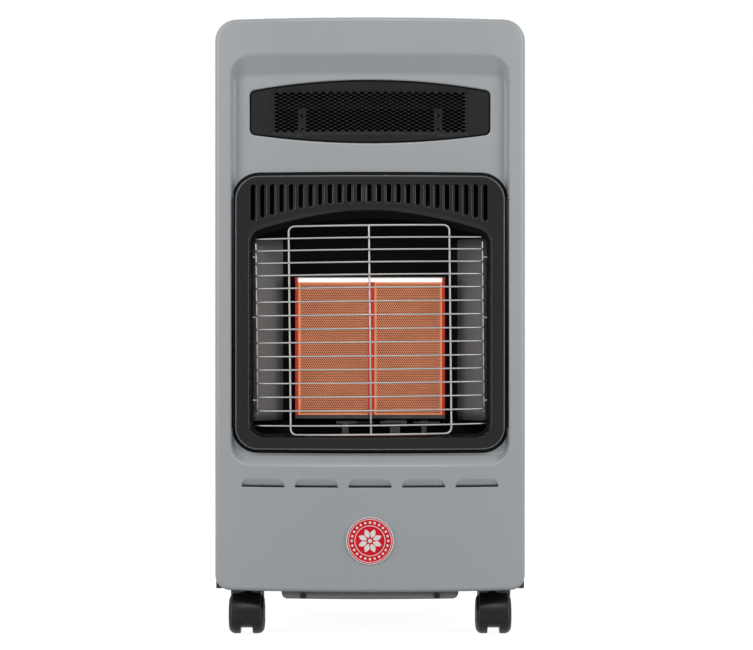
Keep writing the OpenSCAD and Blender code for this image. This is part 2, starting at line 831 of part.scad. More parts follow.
module badge() {
  color([0.7, 0.08, 0.08]) translate([0, 0, badge_z]) {
    across(0.4 - badge_proud, 0) circle(r = badge_r, $fn = 96);
    across(-badge_proud, -0.5) {
      difference() {
        circle(r = badge_r, $fn = 96);
        circle(r = badge_r - 1.4, $fn = 96);
      }
      difference() {
        circle(r = badge_r - 4.6, $fn = 96);
        circle(r = badge_r - 5.6, $fn = 96);
      }
      for (i = [0:7]) {
        rotate(i * 45) translate([0, 3]) petal2d(12, 6);
      }
      circle(r = 2.2, $fn = small);
    }
  }
}

// ---- fire opening ----

module fire_surround() {
  raised = sur_half - sur_flange;
  z0 = sur_bottom + sur_flange;
  z1 = sur_top - sur_flange;
  rt = sur_rt - sur_flange;
  rb = sur_rb - sur_flange;
  front = recess_depth - sur_proud;
  color(black) difference() {
    union() {
      intersection() {
        bow_sheet(front, recess_depth, sur_bottom - 5, sur_top + 5);
        across(-5, 60) plate2d(raised, z0, z1, rt, rb);
      }
      intersection() {
        bow_sheet(recess_depth - sheet, recess_depth, sur_bottom - 5, sur_top + 5);
        across(-5, 60) plate2d(sur_half, sur_bottom, sur_top, sur_rt, sur_rb);
      }
    }
    difference() {
      intersection() {
        bow(front + sheet, sur_bottom - 5, sur_top + 5);
        across(-5, 60) plate2d(raised - sheet, z0 + sheet, z1 - sheet, rt - sheet, rb - sheet);
      }
      across(-5, 70) arch2d(sheet);
    }
    across(-5, 60) arch2d(0);
    for (i = [0:slot_count - 1]) {
      x = (i - (slot_count - 1) / 2) * slot_pitch;
      across(-5, 60) slot2d(x, arch_z + sqrt(pow(arch_r + slot_gap, 2) - x * x), slot_top, slot_w);
    }
  }
}

// An arc wire in plan, `back` behind the rods and reaching to +-x_end
module bow_wire(z, dia, back, x_end) {
  r = guard_r - back;
  a = asin(x_end / r);
  translate([0, crest_y + guard_crest + guard_r, z]) rotate([0, 0, -90 - a])
    rotate_extrude(angle = 2 * a, $fn = curve) translate([r, 0]) circle(d = dia, $fn = small);
}

// Rounded corner of the guard's frame on the right; up is 1 at the top and -1 at the bottom
module frame_corner(up) {
  z = up > 0 ? frame_top - frame_r : frame_bottom + frame_r;
  translate([frame_arc_x, crest_y + frame_d_at - frame_r * sin(frame_arc_a), z])
    rotate([0, 0, frame_arc_a]) rotate([90, 0, 0]) rotate([0, 0, up > 0 ? 0 : -90])
    rotate_extrude(angle = 90, $fn = small) translate([frame_r, 0]) circle(d = frame_d, $fn = small);
}

// The rods, the rounded frame and the uprights, welded where they cross
module wire_guard() {
  thin_d = frame_d - 0.1;
  color([0.8, 0.8, 0.8]) {
    for (z = rod_z) {
      bow_wire(z, rod_d, 0, rod_half);
    }
    bow_wire(frame_bottom, thin_d, wire_back, frame_arc_x + 0.5);
    bow_wire(frame_top, thin_d, wire_back, frame_arc_x + 0.5);
    rod_up(0, guard_crest + wire_back, frame_bottom, frame_top, thin_d - 0.1);
    for (s = [0, 1]) {
      mirror([s, 0, 0]) {
        frame_corner(1);
        frame_corner(-1);
        rod_up(frame_x, frame_d_at, frame_bottom + frame_r - 0.5, frame_top - frame_r + 0.5, thin_d);
        rod_up(side_wire_x, side_d, side_wire_z[0], side_wire_z[1], frame_d);
        // tails that hook through the firebox's sides
        for (z = tail_z) {
          rod_right(side_wire_x, box_half + 3, side_d, z, rod_d);
        }
      }
    }
  }
}

module firebox() {
  back = box_d + thin;
  out = box_half + thin;
  color(black) difference() {
    union() {
      intersection() {
        bow(floor_in + thin, box_bottom - 20, box_top + 20);
        across(0, back) plate2d(out, box_bottom - thin, box_top + thin, sur_rt - 6, sur_rb - 8);
      }
      intersection() {
        bow_sheet(floor_in, floor_in + thin, box_bottom - 20, box_top + 20);
        across(0, 60) plate2d(out + 8, box_bottom - thin - 7, box_top + thin + 8, sur_rt, sur_rb);
      }
    }
    across(-1, box_d) plate2d(box_half, box_bottom, box_top, sur_rt - 6.8, sur_rb - 8.8);
    block(around(plenum_x, 0.5), [box_d - 5, back + 5], around(plenum_z, 0.5));
    for (s = [-1, 1], z = tail_z) {
      rod_right(s * box_half - 5, s * box_half + 5, side_d, z, rod_d + 0.8);
    }
    rod_back(pilot_end_x, box_d - 5, back + 5, pilot_z, pilot_od + 1);
  }
}

// Bent side reflector, drawn for the right side
module reflector_form() {
  z = reflector_z;
  d1 = box_d - thin;
  color(steel) intersection() {
    upward(z[0], z[1]) polygon(strip([[box_half - 0.5, plaque_d - 18.5], [box_half - 10.8, plaque_d - 20],
      [frame_out + 15.6, d1], [frame_out + 4.8, d1]], -thin));
    across(0, box_d + 5) translate([box_half - 27, 0]) plate2d(40, z[0], z[1], 12, 12);
  }
}

module left_reflector() {
  mirror([1, 0, 0]) reflector_form();
}

module right_reflector() {
  reflector_form();
}

module burner_frame() {
  color(steel) difference() {
    block([-frame_out, frame_out], [plaque_d - frame_t - 0.3, box_d], [frame_z[0], frame_z[1]]);
    block([-frame_out + frame_t, frame_out - frame_t], [plaque_d - 0.3, box_d + 5],
      [frame_z[0] + frame_t, frame_z[1] - frame_t]);
    for (s = [-1, 1]) {
      translate([s * (divider_w / 2 + plaque_w / 2), crest_y + plaque_d, (frame_z[0] + frame_z[1]) / 2])
        cube([plaque_w - 2 * frame_t, 6 * frame_t, frame_z[1] - frame_z[0] - 6.6], center = true);
    }
  }
}

// A plaque with staggered rows of through holes, its lower corner nearest the middle at x = 0
module plaque_form() {
  nx = floor((plaque_w - 2 * perf_margin) / perf_pitch);
  nz = floor((plaque_h - 2 * perf_margin) / (perf_pitch * 0.866));
  x0 = (plaque_w - (nx - 0.5) * perf_pitch) / 2;
  z0 = (plaque_h - (nz - 1) * perf_pitch * 0.866) / 2;
  color(ceramic) across(plaque_d, plaque_d + plaque_t) difference() {
    translate([divider_w / 2 - 0.4, plaque_bottom]) square([plaque_w, plaque_h]);
    translate([divider_w / 2 - 0.4, plaque_bottom]) for (j = [0:nz - 1], i = [0:nx - 1]) {
      translate([x0 + (i + (j % 2) / 2) * perf_pitch, z0 + j * perf_pitch * 0.866])
        circle(d = perf_d, $fn = 16);
    }
  }
}

module plaque_left() {
  mirror([1, 0, 0]) plaque_form();
}

module plaque_right() {
  plaque_form();
}

module burner_gasket() {
  z0 = plaque_bottom + plaque_h + 0.1;
  color([0.9, 0.9, 0.88])
    block([-frame_out + frame_t + 0.2, frame_out - frame_t - 0.2], [plaque_d, plaque_d + plaque_t],
      [z0, frame_z[1] - frame_t]);
}

module burner_plenum() {
  color(steel) difference() {
    union() {
      block(plenum_x, [plenum_front, plenum_back], plenum_z);
      block(around(plenum_x, 9), [box_d + thin, box_d + thin + 1], around(plenum_z, 9));
    }
    block(around(plenum_x, -1), [plenum_front - 5, plenum_back - 1], around(plenum_z, -1));
    rod_up(0, gas_d, plenum_z[0] - 20, plenum_z[0] + 5, tube_od - 1.6);
  }
}

module pilot_bracket() {
  z0 = box_bottom + 6;
  color(steel) difference() {
    sideways(-46, 86) polygon(strip([[60, z0], [box_d - 1, z0], [box_d - 1, plaque_bottom - 6]], 1));
    rod_back(pilot_end_x, 60, box_d + 5, pilot_z, pilot_od + 1);
    for (i = [0:2]) {
      rod_up(-30 + 20 * i, pilot_d + 5, z0 - 3, z0 + 5, 4);
    }
  }
}

module pilot_burner() {
  color(brass) difference() {
    union() {
      rod_right(18, 44, pilot_d, pilot_tube_z, 9);
      block([24, 36], [pilot_d - 3, pilot_d + 6], [box_bottom + 7, pilot_tube_z]);
      rod_right(12, 20, pilot_d, pilot_tube_z, 6);
    }
    rod_right(10, 40, pilot_d, pilot_tube_z, 4);
    for (i = [0:3]) {
      rod_back(24 + 4 * i, pilot_d - 10, pilot_d, pilot_tube_z, 2);
    }
  }
}

module spark_electrode() {
  z = pilot_tube_z;
  color([0.9, 0.9, 0.86]) {
    rod_right(-41, -16, pilot_d, z, 6);
    rod_right(-18, 6, pilot_d, z, 1.8);
    block([-34, -26], [pilot_d - 3, pilot_d + 3], [box_bottom + 7, z]);
  }
}

module thermocouple() {
  z = pilot_tube_z;
  color(steel) {
    rod_right(52, 84, pilot_d, z, 4);
    rod_right(60, 70, pilot_d, z, 7);
    block([62, 68], [pilot_d - 2, pilot_d + 2], [box_bottom + 7, z]);
  }
}

// ---- hot air outlet ----

// Diamond holes of the mesh, in staggered columns
module mesh2d() {
  nx = floor(mesh_half / mesh_pitch_x);
  nz = floor(mesh_mid / mesh_pitch_z);
  w = mesh_hole_w / 2;
  h = mesh_hole_h / 2;
  diamond = [[-w, 0], [0, -h], [w, 0], [0, h]];
  translate([0, win_z]) {
    for (i = [-nx:nx], j = [-nz:nz]) {
      translate([i * mesh_pitch_x, j * mesh_pitch_z]) polygon(diamond);
    }
    for (i = [-nx:nx - 1], j = [-nz:nz - 1]) {
      translate([(i + 0.5) * mesh_pitch_x, (j + 0.5) * mesh_pitch_z]) polygon(diamond);
    }
  }
}

module outlet_grille() {
  color(black) difference() {
    intersection() {
      bow_sheet(floor_in, floor_in + mesh_t, win_z - 80, win_z + 80);
      across(-5, 70) lens2d(5);
    }
    across(-6, 71) mesh2d();
  }
}

module outlet_duct() {
  z0 = win_z - win_mid - 9;
  z1 = win_z + win_mid + 8;
  inset = floor_in + mesh_t;
  color(black) difference() {
    intersection() {
      bow(inset, z0 - 5, z1 + 5);
      block([-duct_x, duct_x], [0, duct_back + thin], [z0, z1]);
    }
    difference() {
      block([-duct_x + thin, duct_x - thin], [0, duct_back], [z0 - 5, z1 - thin]);
      bow_sheet(inset, inset + thin, z0 - 6, z1 + 5);
    }
    across(0, 60) translate([0, win_z - mesh_mid]) plate2d(mesh_half, 0, 2 * mesh_mid, 8, 8);
  }
}

// Inclined plate that turns the warm air forwards, carried on two legs on top of the firebox
module air_deflector() {
  foot = box_top + thin;
  z1 = win_z + 6.5;
  color(steel) {
    difference() {
      union() {
        sideways(-duct_x + 12, duct_x - 12)
          polygon(strip([[deflector_d, z1], [duct_back - 1, z1 + 30]], 1));
        for (s = [-1, 1]) {
          sideways(s * deflector_x - 5, s * deflector_x + 5)
            polygon(strip([[leg_d + 13, foot], [leg_d, foot], [leg_d, z1 + 1]], -1));
        }
      }
      for (s = [-1, 1], i = [0:3]) {
        rod_back(s * deflector_x, leg_d - 11, leg_d + 9, z1 - 8 - 16 * i, 4);
      }
    }
  }
}

// ---- gas train ----

module gas_valve() {
  v = valve_half;
  color(brass) difference() {
    union() {
      block([knob_x - v, knob_x + v], [tray_d - v, tray_d + v], [valve_z[0], valve_z[1]]);
      rod_up(knob_x, tray_d, valve_z[1], tray_floor - tray_wall, 14);
      rod_back(pipe_x, tray_d - v - 10, tray_d - v, pipe_z, 13);
      rod_back(pilot_x, tray_d - v - 7, tray_d - v, pilot_top, 8);
      rod_right(knob_x - v - 8, knob_x - v, tray_d, inlet_z, 14);
      rod_right(knob_x + v, knob_x + v + 8, tray_d, pipe_z + 4, 20);
    }
    rod_up(knob_x, tray_d, valve_z[1] - 22, tray_floor, spindle_d + 2 * run_gap);
    rod_back(pipe_x, tray_d - v - 12, tray_d - v + 4, pipe_z, pipe_od + 0.1);
    rod_back(pilot_x, tray_d - v - 9, tray_d - v + 3, pilot_top, pilot_od + 0.1);
    rod_right(knob_x - v - 12, knob_x - v + 6, tray_d, inlet_z, 9);
  }
}

module valve_spindle() {
  color(steel) difference() {
    rod_up(knob_x, tray_d, valve_z[1] - 21.5, knob_z + knob_h - 6 - knob_push, spindle_d);
    block([flat_x, knob_x + spindle_d], around([tray_d, tray_d], 10), [tray_floor - 1, body_h]);
  }
}

// Knob with a gripping bar, hollow underneath, sliding on the flatted spindle
module control_knob() {
  bore_top = knob_z + knob_h - 5;
  color([0.13, 0.13, 0.14]) difference() {
    union() {
      rod_up(knob_x, tray_d, knob_z, knob_z + 4, knob_d);
      rod_up(knob_x, tray_d, knob_z + 3, knob_z + knob_h - 6, knob_d - 8);
      block([knob_x - 4.5, knob_x + 4.5], [tray_d - knob_d / 2 + 4, tray_d + knob_d / 2 - 4],
        [knob_z + 3, knob_z + knob_h]);
    }
    difference() {
      rod_up(knob_x, tray_d, knob_z - 5, knob_z + 8, knob_d - 12);
      rod_up(knob_x, tray_d, knob_z - 6, knob_z + 9, spindle_d + 5);
    }
    difference() {
      rod_up(knob_x, tray_d, knob_z - 5, bore_top, spindle_d + 2 * run_gap);
      block([flat_x + run_gap, knob_x + spindle_d], around([tray_d, tray_d], 10), [0, body_h]);
    }
    // pointer groove
    groove_z = knob_z + knob_h - 0.8;
    block(around([knob_x, knob_x], 0.7), [tray_d - knob_d / 2 + 3, tray_d - 4], [groove_z, body_h]);
  }
}

module hose_nozzle() {
  x1 = knob_x - valve_half;
  color(brass) difference() {
    union() {
      rod_right(x1 - 12, x1 + 5, tray_d, inlet_z, 8.9);
      translate([x1 - 15, crest_y + tray_d, inlet_z]) rotate([0, 90, 0])
        cylinder(d = 19.6, h = 6.8, $fn = 6);
      rod_right(x1 - 19, x1 - 15, tray_d, inlet_z, 12);
      rod_right(x1 - 44, x1 - 18, tray_d, inlet_z, 9);
    }
    rod_right(x1 - 50, x1 + 10, tray_d, inlet_z, 5);
  }
}

// A pipe of three straight runs with two bends: back to front, down, then towards the middle
module routed_pipe(x, z, low, x_end, dia, bend) {
  rod_back(x, gas_d + bend, tray_d - valve_half - 0.5, z, dia);
  translate([x, crest_y + gas_d + bend, z - bend]) rotate([90, 0, 90]) rotate([0, 0, 90])
    rotate_extrude(angle = 90, $fn = small) translate([bend, 0]) circle(d = dia, $fn = small);
  rod_up(x, gas_d, low + bend, z - bend, dia);
  translate([x - bend, crest_y + gas_d, low + bend]) rotate([90, 0, 0]) rotate([0, 0, -90])
    rotate_extrude(angle = 90, $fn = small) translate([bend, 0]) circle(d = dia, $fn = small);
  rod_right(x_end, x - bend, gas_d, low, dia);
}

module manifold_pipe() {
  color(steel) routed_pipe(pipe_x, pipe_z, venturi_z, injector_x + 9, pipe_od, 13);
}

module pilot_pipe() {
  bend = 9;
  color([0.75, 0.45, 0.3]) {
    routed_pipe(pilot_x, pilot_top, pilot_z, pilot_end_x + bend, pilot_od, bend);
    translate([pilot_end_x + bend, crest_y + gas_d - bend, pilot_z]) rotate([0, 0, 90])
      rotate_extrude(angle = 90, $fn = small) translate([bend, 0]) circle(d = pilot_od, $fn = small);
    rod_back(pilot_end_x, pilot_d + 6, gas_d - bend, pilot_z, pilot_od);
  }
}

module injector() {
  color(brass) difference() {
    union() {
      translate([injector_x + 1.2, crest_y + gas_d, venturi_z]) rotate([0, 90, 0])
        cylinder(d = 13, h = 7.8, $fn = 6);
      rod_right(injector_x - 5, injector_x + 2, gas_d, venturi_z, 7);
    }
    rod_right(injector_x + 4, injector_x + 12, gas_d, venturi_z, pipe_od - 2);
    rod_right(injector_x - 8, injector_x + 5, gas_d, venturi_z, 1.2);
  }
}

// Mixing tube with a flared mouth, an elbow up to the plenum and a bracket that carries the injector
module venturi_tube() {
  mouth = injector_x - 8;
  color(steel) {
    difference() {
      union() {
        translate([venturi_bend, crest_y + gas_d, venturi_z + venturi_bend]) rotate([90, 0, 0])
          rotate([0, 0, 180]) rotate_extrude(angle = 90, $fn = small)
          translate([venturi_bend, 0]) circle(d = tube_od, $fn = small);
        rod_right(venturi_bend, mouth, gas_d, venturi_z, tube_od);
        translate([mouth - 10, crest_y + gas_d, venturi_z]) rotate([0, 90, 0])
          cylinder(d1 = tube_od, d2 = tube_od + 4, h = 10, $fn = small);
        // bracket arms and plate
        block([mouth - 8, injector_x + 1.2], [gas_d - 8, gas_d + 8], [venturi_z - 12, venturi_z - 9.8]);
        block([injector_x, injector_x + 1.2], [gas_d - 8, gas_d + 8], [venturi_z - 12, venturi_z + 8]);
      }
      translate([venturi_bend, crest_y + gas_d, venturi_z + venturi_bend]) rotate([90, 0, 0])
        rotate([0, 0, 180]) rotate_extrude(angle = 90, $fn = small)
        translate([venturi_bend, 0]) circle(d = tube_od - 1.6, $fn = small);
      rod_right(venturi_bend - 0.01, mouth - 5, gas_d, venturi_z, tube_od - 1.6);
      translate([mouth - 10, crest_y + gas_d, venturi_z]) rotate([0, 90, 0])
        cylinder(d1 = tube_od - 1.6, d2 = tube_od + 2.4, h = 10.01, $fn = small);
      rod_right(injector_x - 5, injector_x + 5, gas_d, venturi_z, 7.1);
    }
    difference() {
      rod_up(0, gas_d, venturi_z + venturi_bend, plenum_z[0], tube_od);
      rod_up(0, gas_d, venturi_z + venturi_bend - 1, plenum_z[0] + 1, tube_od - 1.6);
    }
  }
}

module control_tray() {
  color([0.12, 0.12, 0.12]) difference() {
    union() {
      block([tray_x - tray_w / 2 - 4, tray_x + tray_w / 2 + 4],
        [tray_d - tray_h / 2 - 4, tray_d + tray_h / 2 + 4], [body_h - skin_out, body_h]);
      block([tray_x - tray_w / 2, tray_x + tray_w / 2], [tray_d - tray_h / 2, tray_d + tray_h / 2],
        [tray_floor - tray_wall, body_h - skin_out + 0.5]);
      // raised ring round the igniter
      rod_up(button_x, tray_d, tray_floor - tray_wall - 3, tray_floor, 26);
    }
    block([tray_x - tray_w / 2 + tray_wall, tray_x + tray_w / 2 - tray_wall],
      [tray_d - tray_h / 2 + tray_wall, tray_d + tray_h / 2 - tray_wall], [tray_floor, body_h + 5]);
    rod_up(knob_x, tray_d, tray_floor - 10, tray_floor + 5, spindle_d + 1.2);
    rod_up(button_x, tray_d, tray_floor - 10, tray_floor + 5, 8.8);
  }
}

module piezo_body() {
  color(black) difference() {
    union() {
      rod_up(button_x, tray_d, piezo_top - piezo_len, piezo_top, 18);
      rod_up(button_x, tray_d, piezo_top - 4, piezo_top, 24);
    }
    rod_up(button_x, tray_d, piezo_top - piezo_len + 2, piezo_top + 1, 8 + 2 * run_gap);
  }
}

module piezo_button() {
  color([0.6, 0.08, 0.08]) {
    rod_up(button_x, tray_d, button_z, button_z + 9, button_d);
    rod_up(button_x, tray_d, button_z + 8.5, button_z + 11, button_d - 3);
    rod_up(button_x, tray_d, piezo_top - piezo_len + 2.5 + button_push, button_z + 1, 8);
  }
}

// Shield between the burner and the cylinder, folded forwards at its sides
module heat_shield() {
  x1 = half_w - skin_in - 0.2;
  color(steel) difference() {
    upward(side_z0, shield_top)
      polygon(strip([[x1 - thin, shield_d - 14], [x1 - thin, shield_d], [-x1 + thin, shield_d],
        [-x1 + thin, shield_d - 14]], -thin));
    for (i = [-6:6], r = [0, 1]) {
      across(shield_d - 5, shield_d + 5)
        slot2d(22 * i, shield_slot_z[r], shield_slot_z[r] + 36, 8);
    }
  }
}

// ---- running gear ----

module caster_mounts() {
  color(steel) for (s = [-1, 1], at = [[stem_x, front_stem_d], [rear_stem_x, rear_stem_d]]) {
    plate = around([s * at[0], s * at[0]], mount_half);
    block(plate, around([at[1], at[1]], mount_half), [panel_bottom - mount_t, panel_bottom]);
    rod_up(s * at[0], at[1], axle_z + 9, panel_bottom - mount_t + 0.5, stem_dia);
  }
}

// Outline of a rim turned about the axle: radius r, between x0 and x1, with edge radii e0 and e1
module rim2d(r, x0, x1, e0, e1) {
  translate([0, x0]) square([r - e1, x1 - x0]);
  translate([0, x0]) square([r - e0, x1 - x0 - e1]);
  translate([0, x0 + e0]) square([r, x1 - x0 - e0 - e1]);
  translate([r - e0, x0 + e0]) circle(r = e0, $fn = small);
  intersection() {
    translate([r - e1, x1 - e1]) circle(r = e1, $fn = small);
    translate([0, x0 + e0]) square([r, x1 - x0 - e0]);
  }
}

// Turns a profile about the axle, which lies `trail` behind the stem
module turned() {
  translate([0, trail, axle_z]) rotate([0, 90, 0]) rotate_extrude($fn = 96) children();
}

// A hood with its stem bore at the origin
module hood_form() {
  z1 = panel_bottom - mount_t - 0.4;
  color(black) difference() {
    union() {
      intersection() {
        turned() rim2d(fender_out, -hood_half, hood_half, 1.2, 1.2);
        translate([-50, -50, axle_z - 8]) cube([100, 100, 60]);
      }
      turned() translate([0, -web_w / 2]) square([17, web_w]);
      translate([0, 0, z1 - 12]) cylinder(d = stem_dia + 6.5, h = 12, $fn = small);
    }
    for (s = [-1, 1]) {
      turned() translate([0, s > 0 ? web_w / 2 : -web_w / 2 - 40]) square([fender_in, 40]);
    }
    translate([0, 0, axle_z + 8.5]) cylinder(d = stem_dia + 2 * run_gap, h = 40, $fn = small);
    translate([-50, trail, axle_z]) rotate([0, 90, 0]) cylinder(d = axle_d, h = 100, $fn = small);
  }
}

module axle_form() {
  reach = wheel_in + wheel_w - 3;
  color(steel) translate([-reach, trail, axle_z]) rotate([0, 90, 0])
    cylinder(d = axle_d, h = 2 * reach, $fn = small);
}

// Wheel on the right of the web, hollow inside, with a domed, dished outer face and a blind bore
module wheel_form() {
  r = wheel_d / 2;
  x1 = wheel_in + wheel_w;
  color(black) turned() difference() {
    rim2d(r, wheel_in, x1, 1, wheel_round);
    translate([-1, wheel_in - 1]) square([1 + axle_d / 2 + run_gap, wheel_w - 1.5]);
    translate([axle_d / 2 + 3, wheel_in - 1]) square([r - 7 - axle_d / 2, 8]);
    translate([-1, x1 - 1]) square([r - wheel_round - 2, 5]);
  }
}

// The front casters trail forwards and the rear ones backwards
module at_front(side) {
  translate([side * stem_x, crest_y + front_stem_d, 0]) mirror([0, 1, 0]) children();
}
module at_rear(side) {
  translate([side * rear_stem_x, crest_y + rear_stem_d, 0]) children();
}

module caster_fl_hood() { at_front(-1) hood_form(); }
module caster_fl_axle() { at_front(-1) axle_form(); }
module caster_fl_wheel_l() { at_front(-1) mirror([1, 0, 0]) wheel_form(); }
module caster_fl_wheel_r() { at_front(-1) wheel_form(); }
module caster_fr_hood() { at_front(1) hood_form(); }
module caster_fr_axle() { at_front(1) axle_form(); }
module caster_fr_wheel_l() { at_front(1) mirror([1, 0, 0]) wheel_form(); }
module caster_fr_wheel_r() { at_front(1) wheel_form(); }
module caster_rl_hood() { at_rear(-1) hood_form(); }
module caster_rl_axle() { at_rear(-1) axle_form(); }
module caster_rl_wheel_l() { at_rear(-1) mirror([1, 0, 0]) wheel_form(); }
module caster_rl_wheel_r() { at_rear(-1) wheel_form(); }
module caster_rr_hood() { at_rear(1) hood_form(); }
module caster_rr_axle() { at_rear(1) axle_form(); }
module caster_rr_wheel_l() { at_rear(1) mirror([1, 0, 0]) wheel_form(); }
module caster_rr_wheel_r() { at_rear(1) wheel_form(); }

front_panel();
left_side_panel();
right_side_panel();
top_panel();
rear_crosspiece();
base_tray();
kick_plate();
kick_plate_screws();
case_screws();
rear_cover();
left_grip();
right_grip();
badge();
fire_surround();
wire_guard();
firebox();
left_reflector();
right_reflector();
burner_frame();
plaque_left();
plaque_right();
burner_gasket();
burner_plenum();
pilot_bracket();
pilot_burner();
spark_electrode();
thermocouple();
outlet_grille();
outlet_duct();
air_deflector();
gas_valve();
valve_spindle();
hose_nozzle();
manifold_pipe();
pilot_pipe();
injector();
venturi_tube();
control_tray();
control_knob();
piezo_body();
piezo_button();
heat_shield();
caster_mounts();
caster_fl_hood();
caster_fl_axle();
caster_fl_wheel_l();
caster_fl_wheel_r();
caster_fr_hood();
caster_fr_axle();
caster_fr_wheel_l();
caster_fr_wheel_r();
caster_rl_hood();
caster_rl_axle();
caster_rl_wheel_l();
caster_rl_wheel_r();
caster_rr_hood();
caster_rr_axle();
caster_rr_wheel_l();
caster_rr_wheel_r();
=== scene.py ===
"""Gas cabinet heater on casters: the looks of every piece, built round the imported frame.

Pieces are drawn in millimetres as (x, depth, z): x runs to the right, z up, and depth runs back
from the crest of the bowed front. Shell.piece() turns them into metres in the frame.
"""

import json
import math

import bpy
import numpy as np
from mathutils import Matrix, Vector
from mathutils.geometry import delaunay_2d_cdt


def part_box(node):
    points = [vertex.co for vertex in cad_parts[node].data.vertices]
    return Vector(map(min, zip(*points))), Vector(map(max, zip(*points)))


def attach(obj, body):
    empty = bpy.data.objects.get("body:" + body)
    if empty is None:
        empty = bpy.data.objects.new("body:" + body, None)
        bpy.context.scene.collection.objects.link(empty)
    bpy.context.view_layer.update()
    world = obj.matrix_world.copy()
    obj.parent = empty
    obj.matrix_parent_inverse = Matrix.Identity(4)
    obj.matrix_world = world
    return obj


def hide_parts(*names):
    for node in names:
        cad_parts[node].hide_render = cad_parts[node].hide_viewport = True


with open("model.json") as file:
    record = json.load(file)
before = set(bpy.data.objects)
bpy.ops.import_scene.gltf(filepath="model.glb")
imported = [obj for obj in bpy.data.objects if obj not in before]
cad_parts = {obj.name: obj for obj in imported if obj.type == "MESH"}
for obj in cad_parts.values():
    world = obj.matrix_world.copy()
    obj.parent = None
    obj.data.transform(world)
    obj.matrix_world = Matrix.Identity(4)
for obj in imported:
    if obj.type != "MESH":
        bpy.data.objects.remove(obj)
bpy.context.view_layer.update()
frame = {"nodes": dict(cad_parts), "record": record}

MM = 0.001


def span(node):
    """Lowest and highest corner of a CAD node as (x, depth, z), in millimetres."""
    return [(p.x / MM, (p.y - CREST_Y) / MM, p.z / MM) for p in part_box(node)]


CREST_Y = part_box("front_panel")[0].y
HALF_W, SKIRT_D, TOP_Z = span("front_panel")[1]
PANEL_Z = span("base_tray")[0][2]
BOW_RISE = 30  # how far the middle of the bowed front stands before its side edges
BOW_R = (HALF_W**2 + BOW_RISE**2) / (2 * BOW_RISE)

# ---------------------------------------------------------------- camera

CAMERA_X = 0.0077
CAMERA_Z = 0.3708
CAMERA_AWAY = 3.2  # from the crest of the front
LENS = 129.45


def make_camera():
    data = bpy.data.cameras.new("camera")
    data.lens = LENS
    data.sensor_width = 36
    data.clip_start, data.clip_end = 0.05, 60
    camera = bpy.data.objects.new("camera", data)
    bpy.context.scene.collection.objects.link(camera)
    camera.location = (CAMERA_X, CREST_Y - CAMERA_AWAY, CAMERA_Z)
    camera.rotation_euler = (math.radians(90), 0, 0)
    bpy.context.scene.camera = camera


make_camera()

# ---------------------------------------------------------------- drawing


def bow(x, inset=0.0):
    """Depth of a surface that lies `inset` behind the bowed face."""
    return BOW_R - math.sqrt((BOW_R - inset) ** 2 - x * x)


def bowed(inset=0.0):
    """The depths of such a surface as a function of x and z, for Shell.ring() and Shell.fill()."""
    return lambda x, z: bow(x, inset)


def level(depth):
    """The same for a flat surface."""
    return lambda x, z: depth


def arc(cx, cz, r, start, end, steps):
    """Points of an arc, its angles in degrees; both ends are kept."""
    turn = [math.radians(start + (end - start) * i / steps) for i in range(steps + 1)]
    return [(cx + r * math.cos(a), cz + r * math.sin(a)) for a in turn]


def line(a, b, steps):
    """Points between a and b without the ends."""
    return [(a[0] + (b[0] - a[0]) * i / steps, a[1] + (b[1] - a[1]) * i / steps) for i in range(1, steps)]


def joined(arcs, steps):
    """A closed loop of arcs with straight stretches between them, cut into steps[i] after arc i."""
    loop = []
    for i, part in enumerate(arcs):
        loop += part + line(part[-1], arcs[(i + 1) % len(arcs)][0], steps[i])
    return loop


def round_rect(half, z0, z1, r_top, r_bottom, flat=44, side=40, corner=12):
    """A rectangle with round corners, anticlockwise as seen from the front."""
    return joined(
        [
            arc(half - r_bottom, z0 + r_bottom, r_bottom, -90, 0, corner),
            arc(half - r_top, z1 - r_top, r_top, 0, 90, corner),
            arc(r_top - half, z1 - r_top, r_top, 90, 180, corner),
            arc(r_bottom - half, z0 + r_bottom, r_bottom, 180, 270, corner),
        ],
        [side, flat, side, flat],
    )


def arch_loop(half, z0, crown, r_arch, r_top, r_bottom, flat=40, side=30, corner=12):
    """A rectangle with round corners whose top is an arch."""
    cz = crown - r_arch
    ux = half - r_top
    uz = cz + math.sqrt((r_arch - r_top) ** 2 - ux**2)
    tilt = math.degrees(math.atan2(uz - cz, ux))
    return joined(
        [
            arc(half - r_bottom, z0 + r_bottom, r_bottom, -90, 0, corner),
            arc(ux, uz, r_top, 0, tilt, corner) + arc(0, cz, r_arch, tilt, 180 - tilt, flat)[1:-1]
            + arc(-ux, uz, r_top, 180 - tilt, 180, corner),
            arc(r_bottom - half, z0 + r_bottom, r_bottom, 180, 270, corner),
        ],
        [side, side, flat],
    )


def lens_loop(g, flat=44, side=10, corner=8):
    """The outlet window, grown by g all round: two long arcs with round corners."""
    r = WIN_ARC + g
    cx = WIN_HALF - WIN_R
    cz = WIN_MID - WIN_ARC + math.sqrt((WIN_ARC - WIN_R) ** 2 - cx**2)
    tilt = math.degrees(math.atan2(cz - WIN_MID + WIN_ARC, cx))
    top = arc(0, WIN_MID - WIN_ARC, r, tilt, 180 - tilt, flat)[1:-1]
    bottom = [(-x, -z) for x, z in top]
    loop = joined(
        [
            arc(cx, -cz, WIN_R + g, -tilt, 0, corner),
            arc(cx, cz, WIN_R + g, 0, tilt, corner) + top + arc(-cx, cz, WIN_R + g, 180 - tilt, 180, corner),
            arc(-cx, -cz, WIN_R + g, 180, 180 + tilt, corner) + bottom,
        ],
        [side, side, 1],
    )
    return [(x, z + WIN_Z) for x, z in loop]


def slot_loop(x, z0, z1, w, end=8, side=6):
    """A slot with round ends, standing on end."""
    r = w / 2
    return joined([arc(x, z0 + r, r, 180, 360, end), arc(x, z1 - r, r, 0, 180, end)], [side, side])


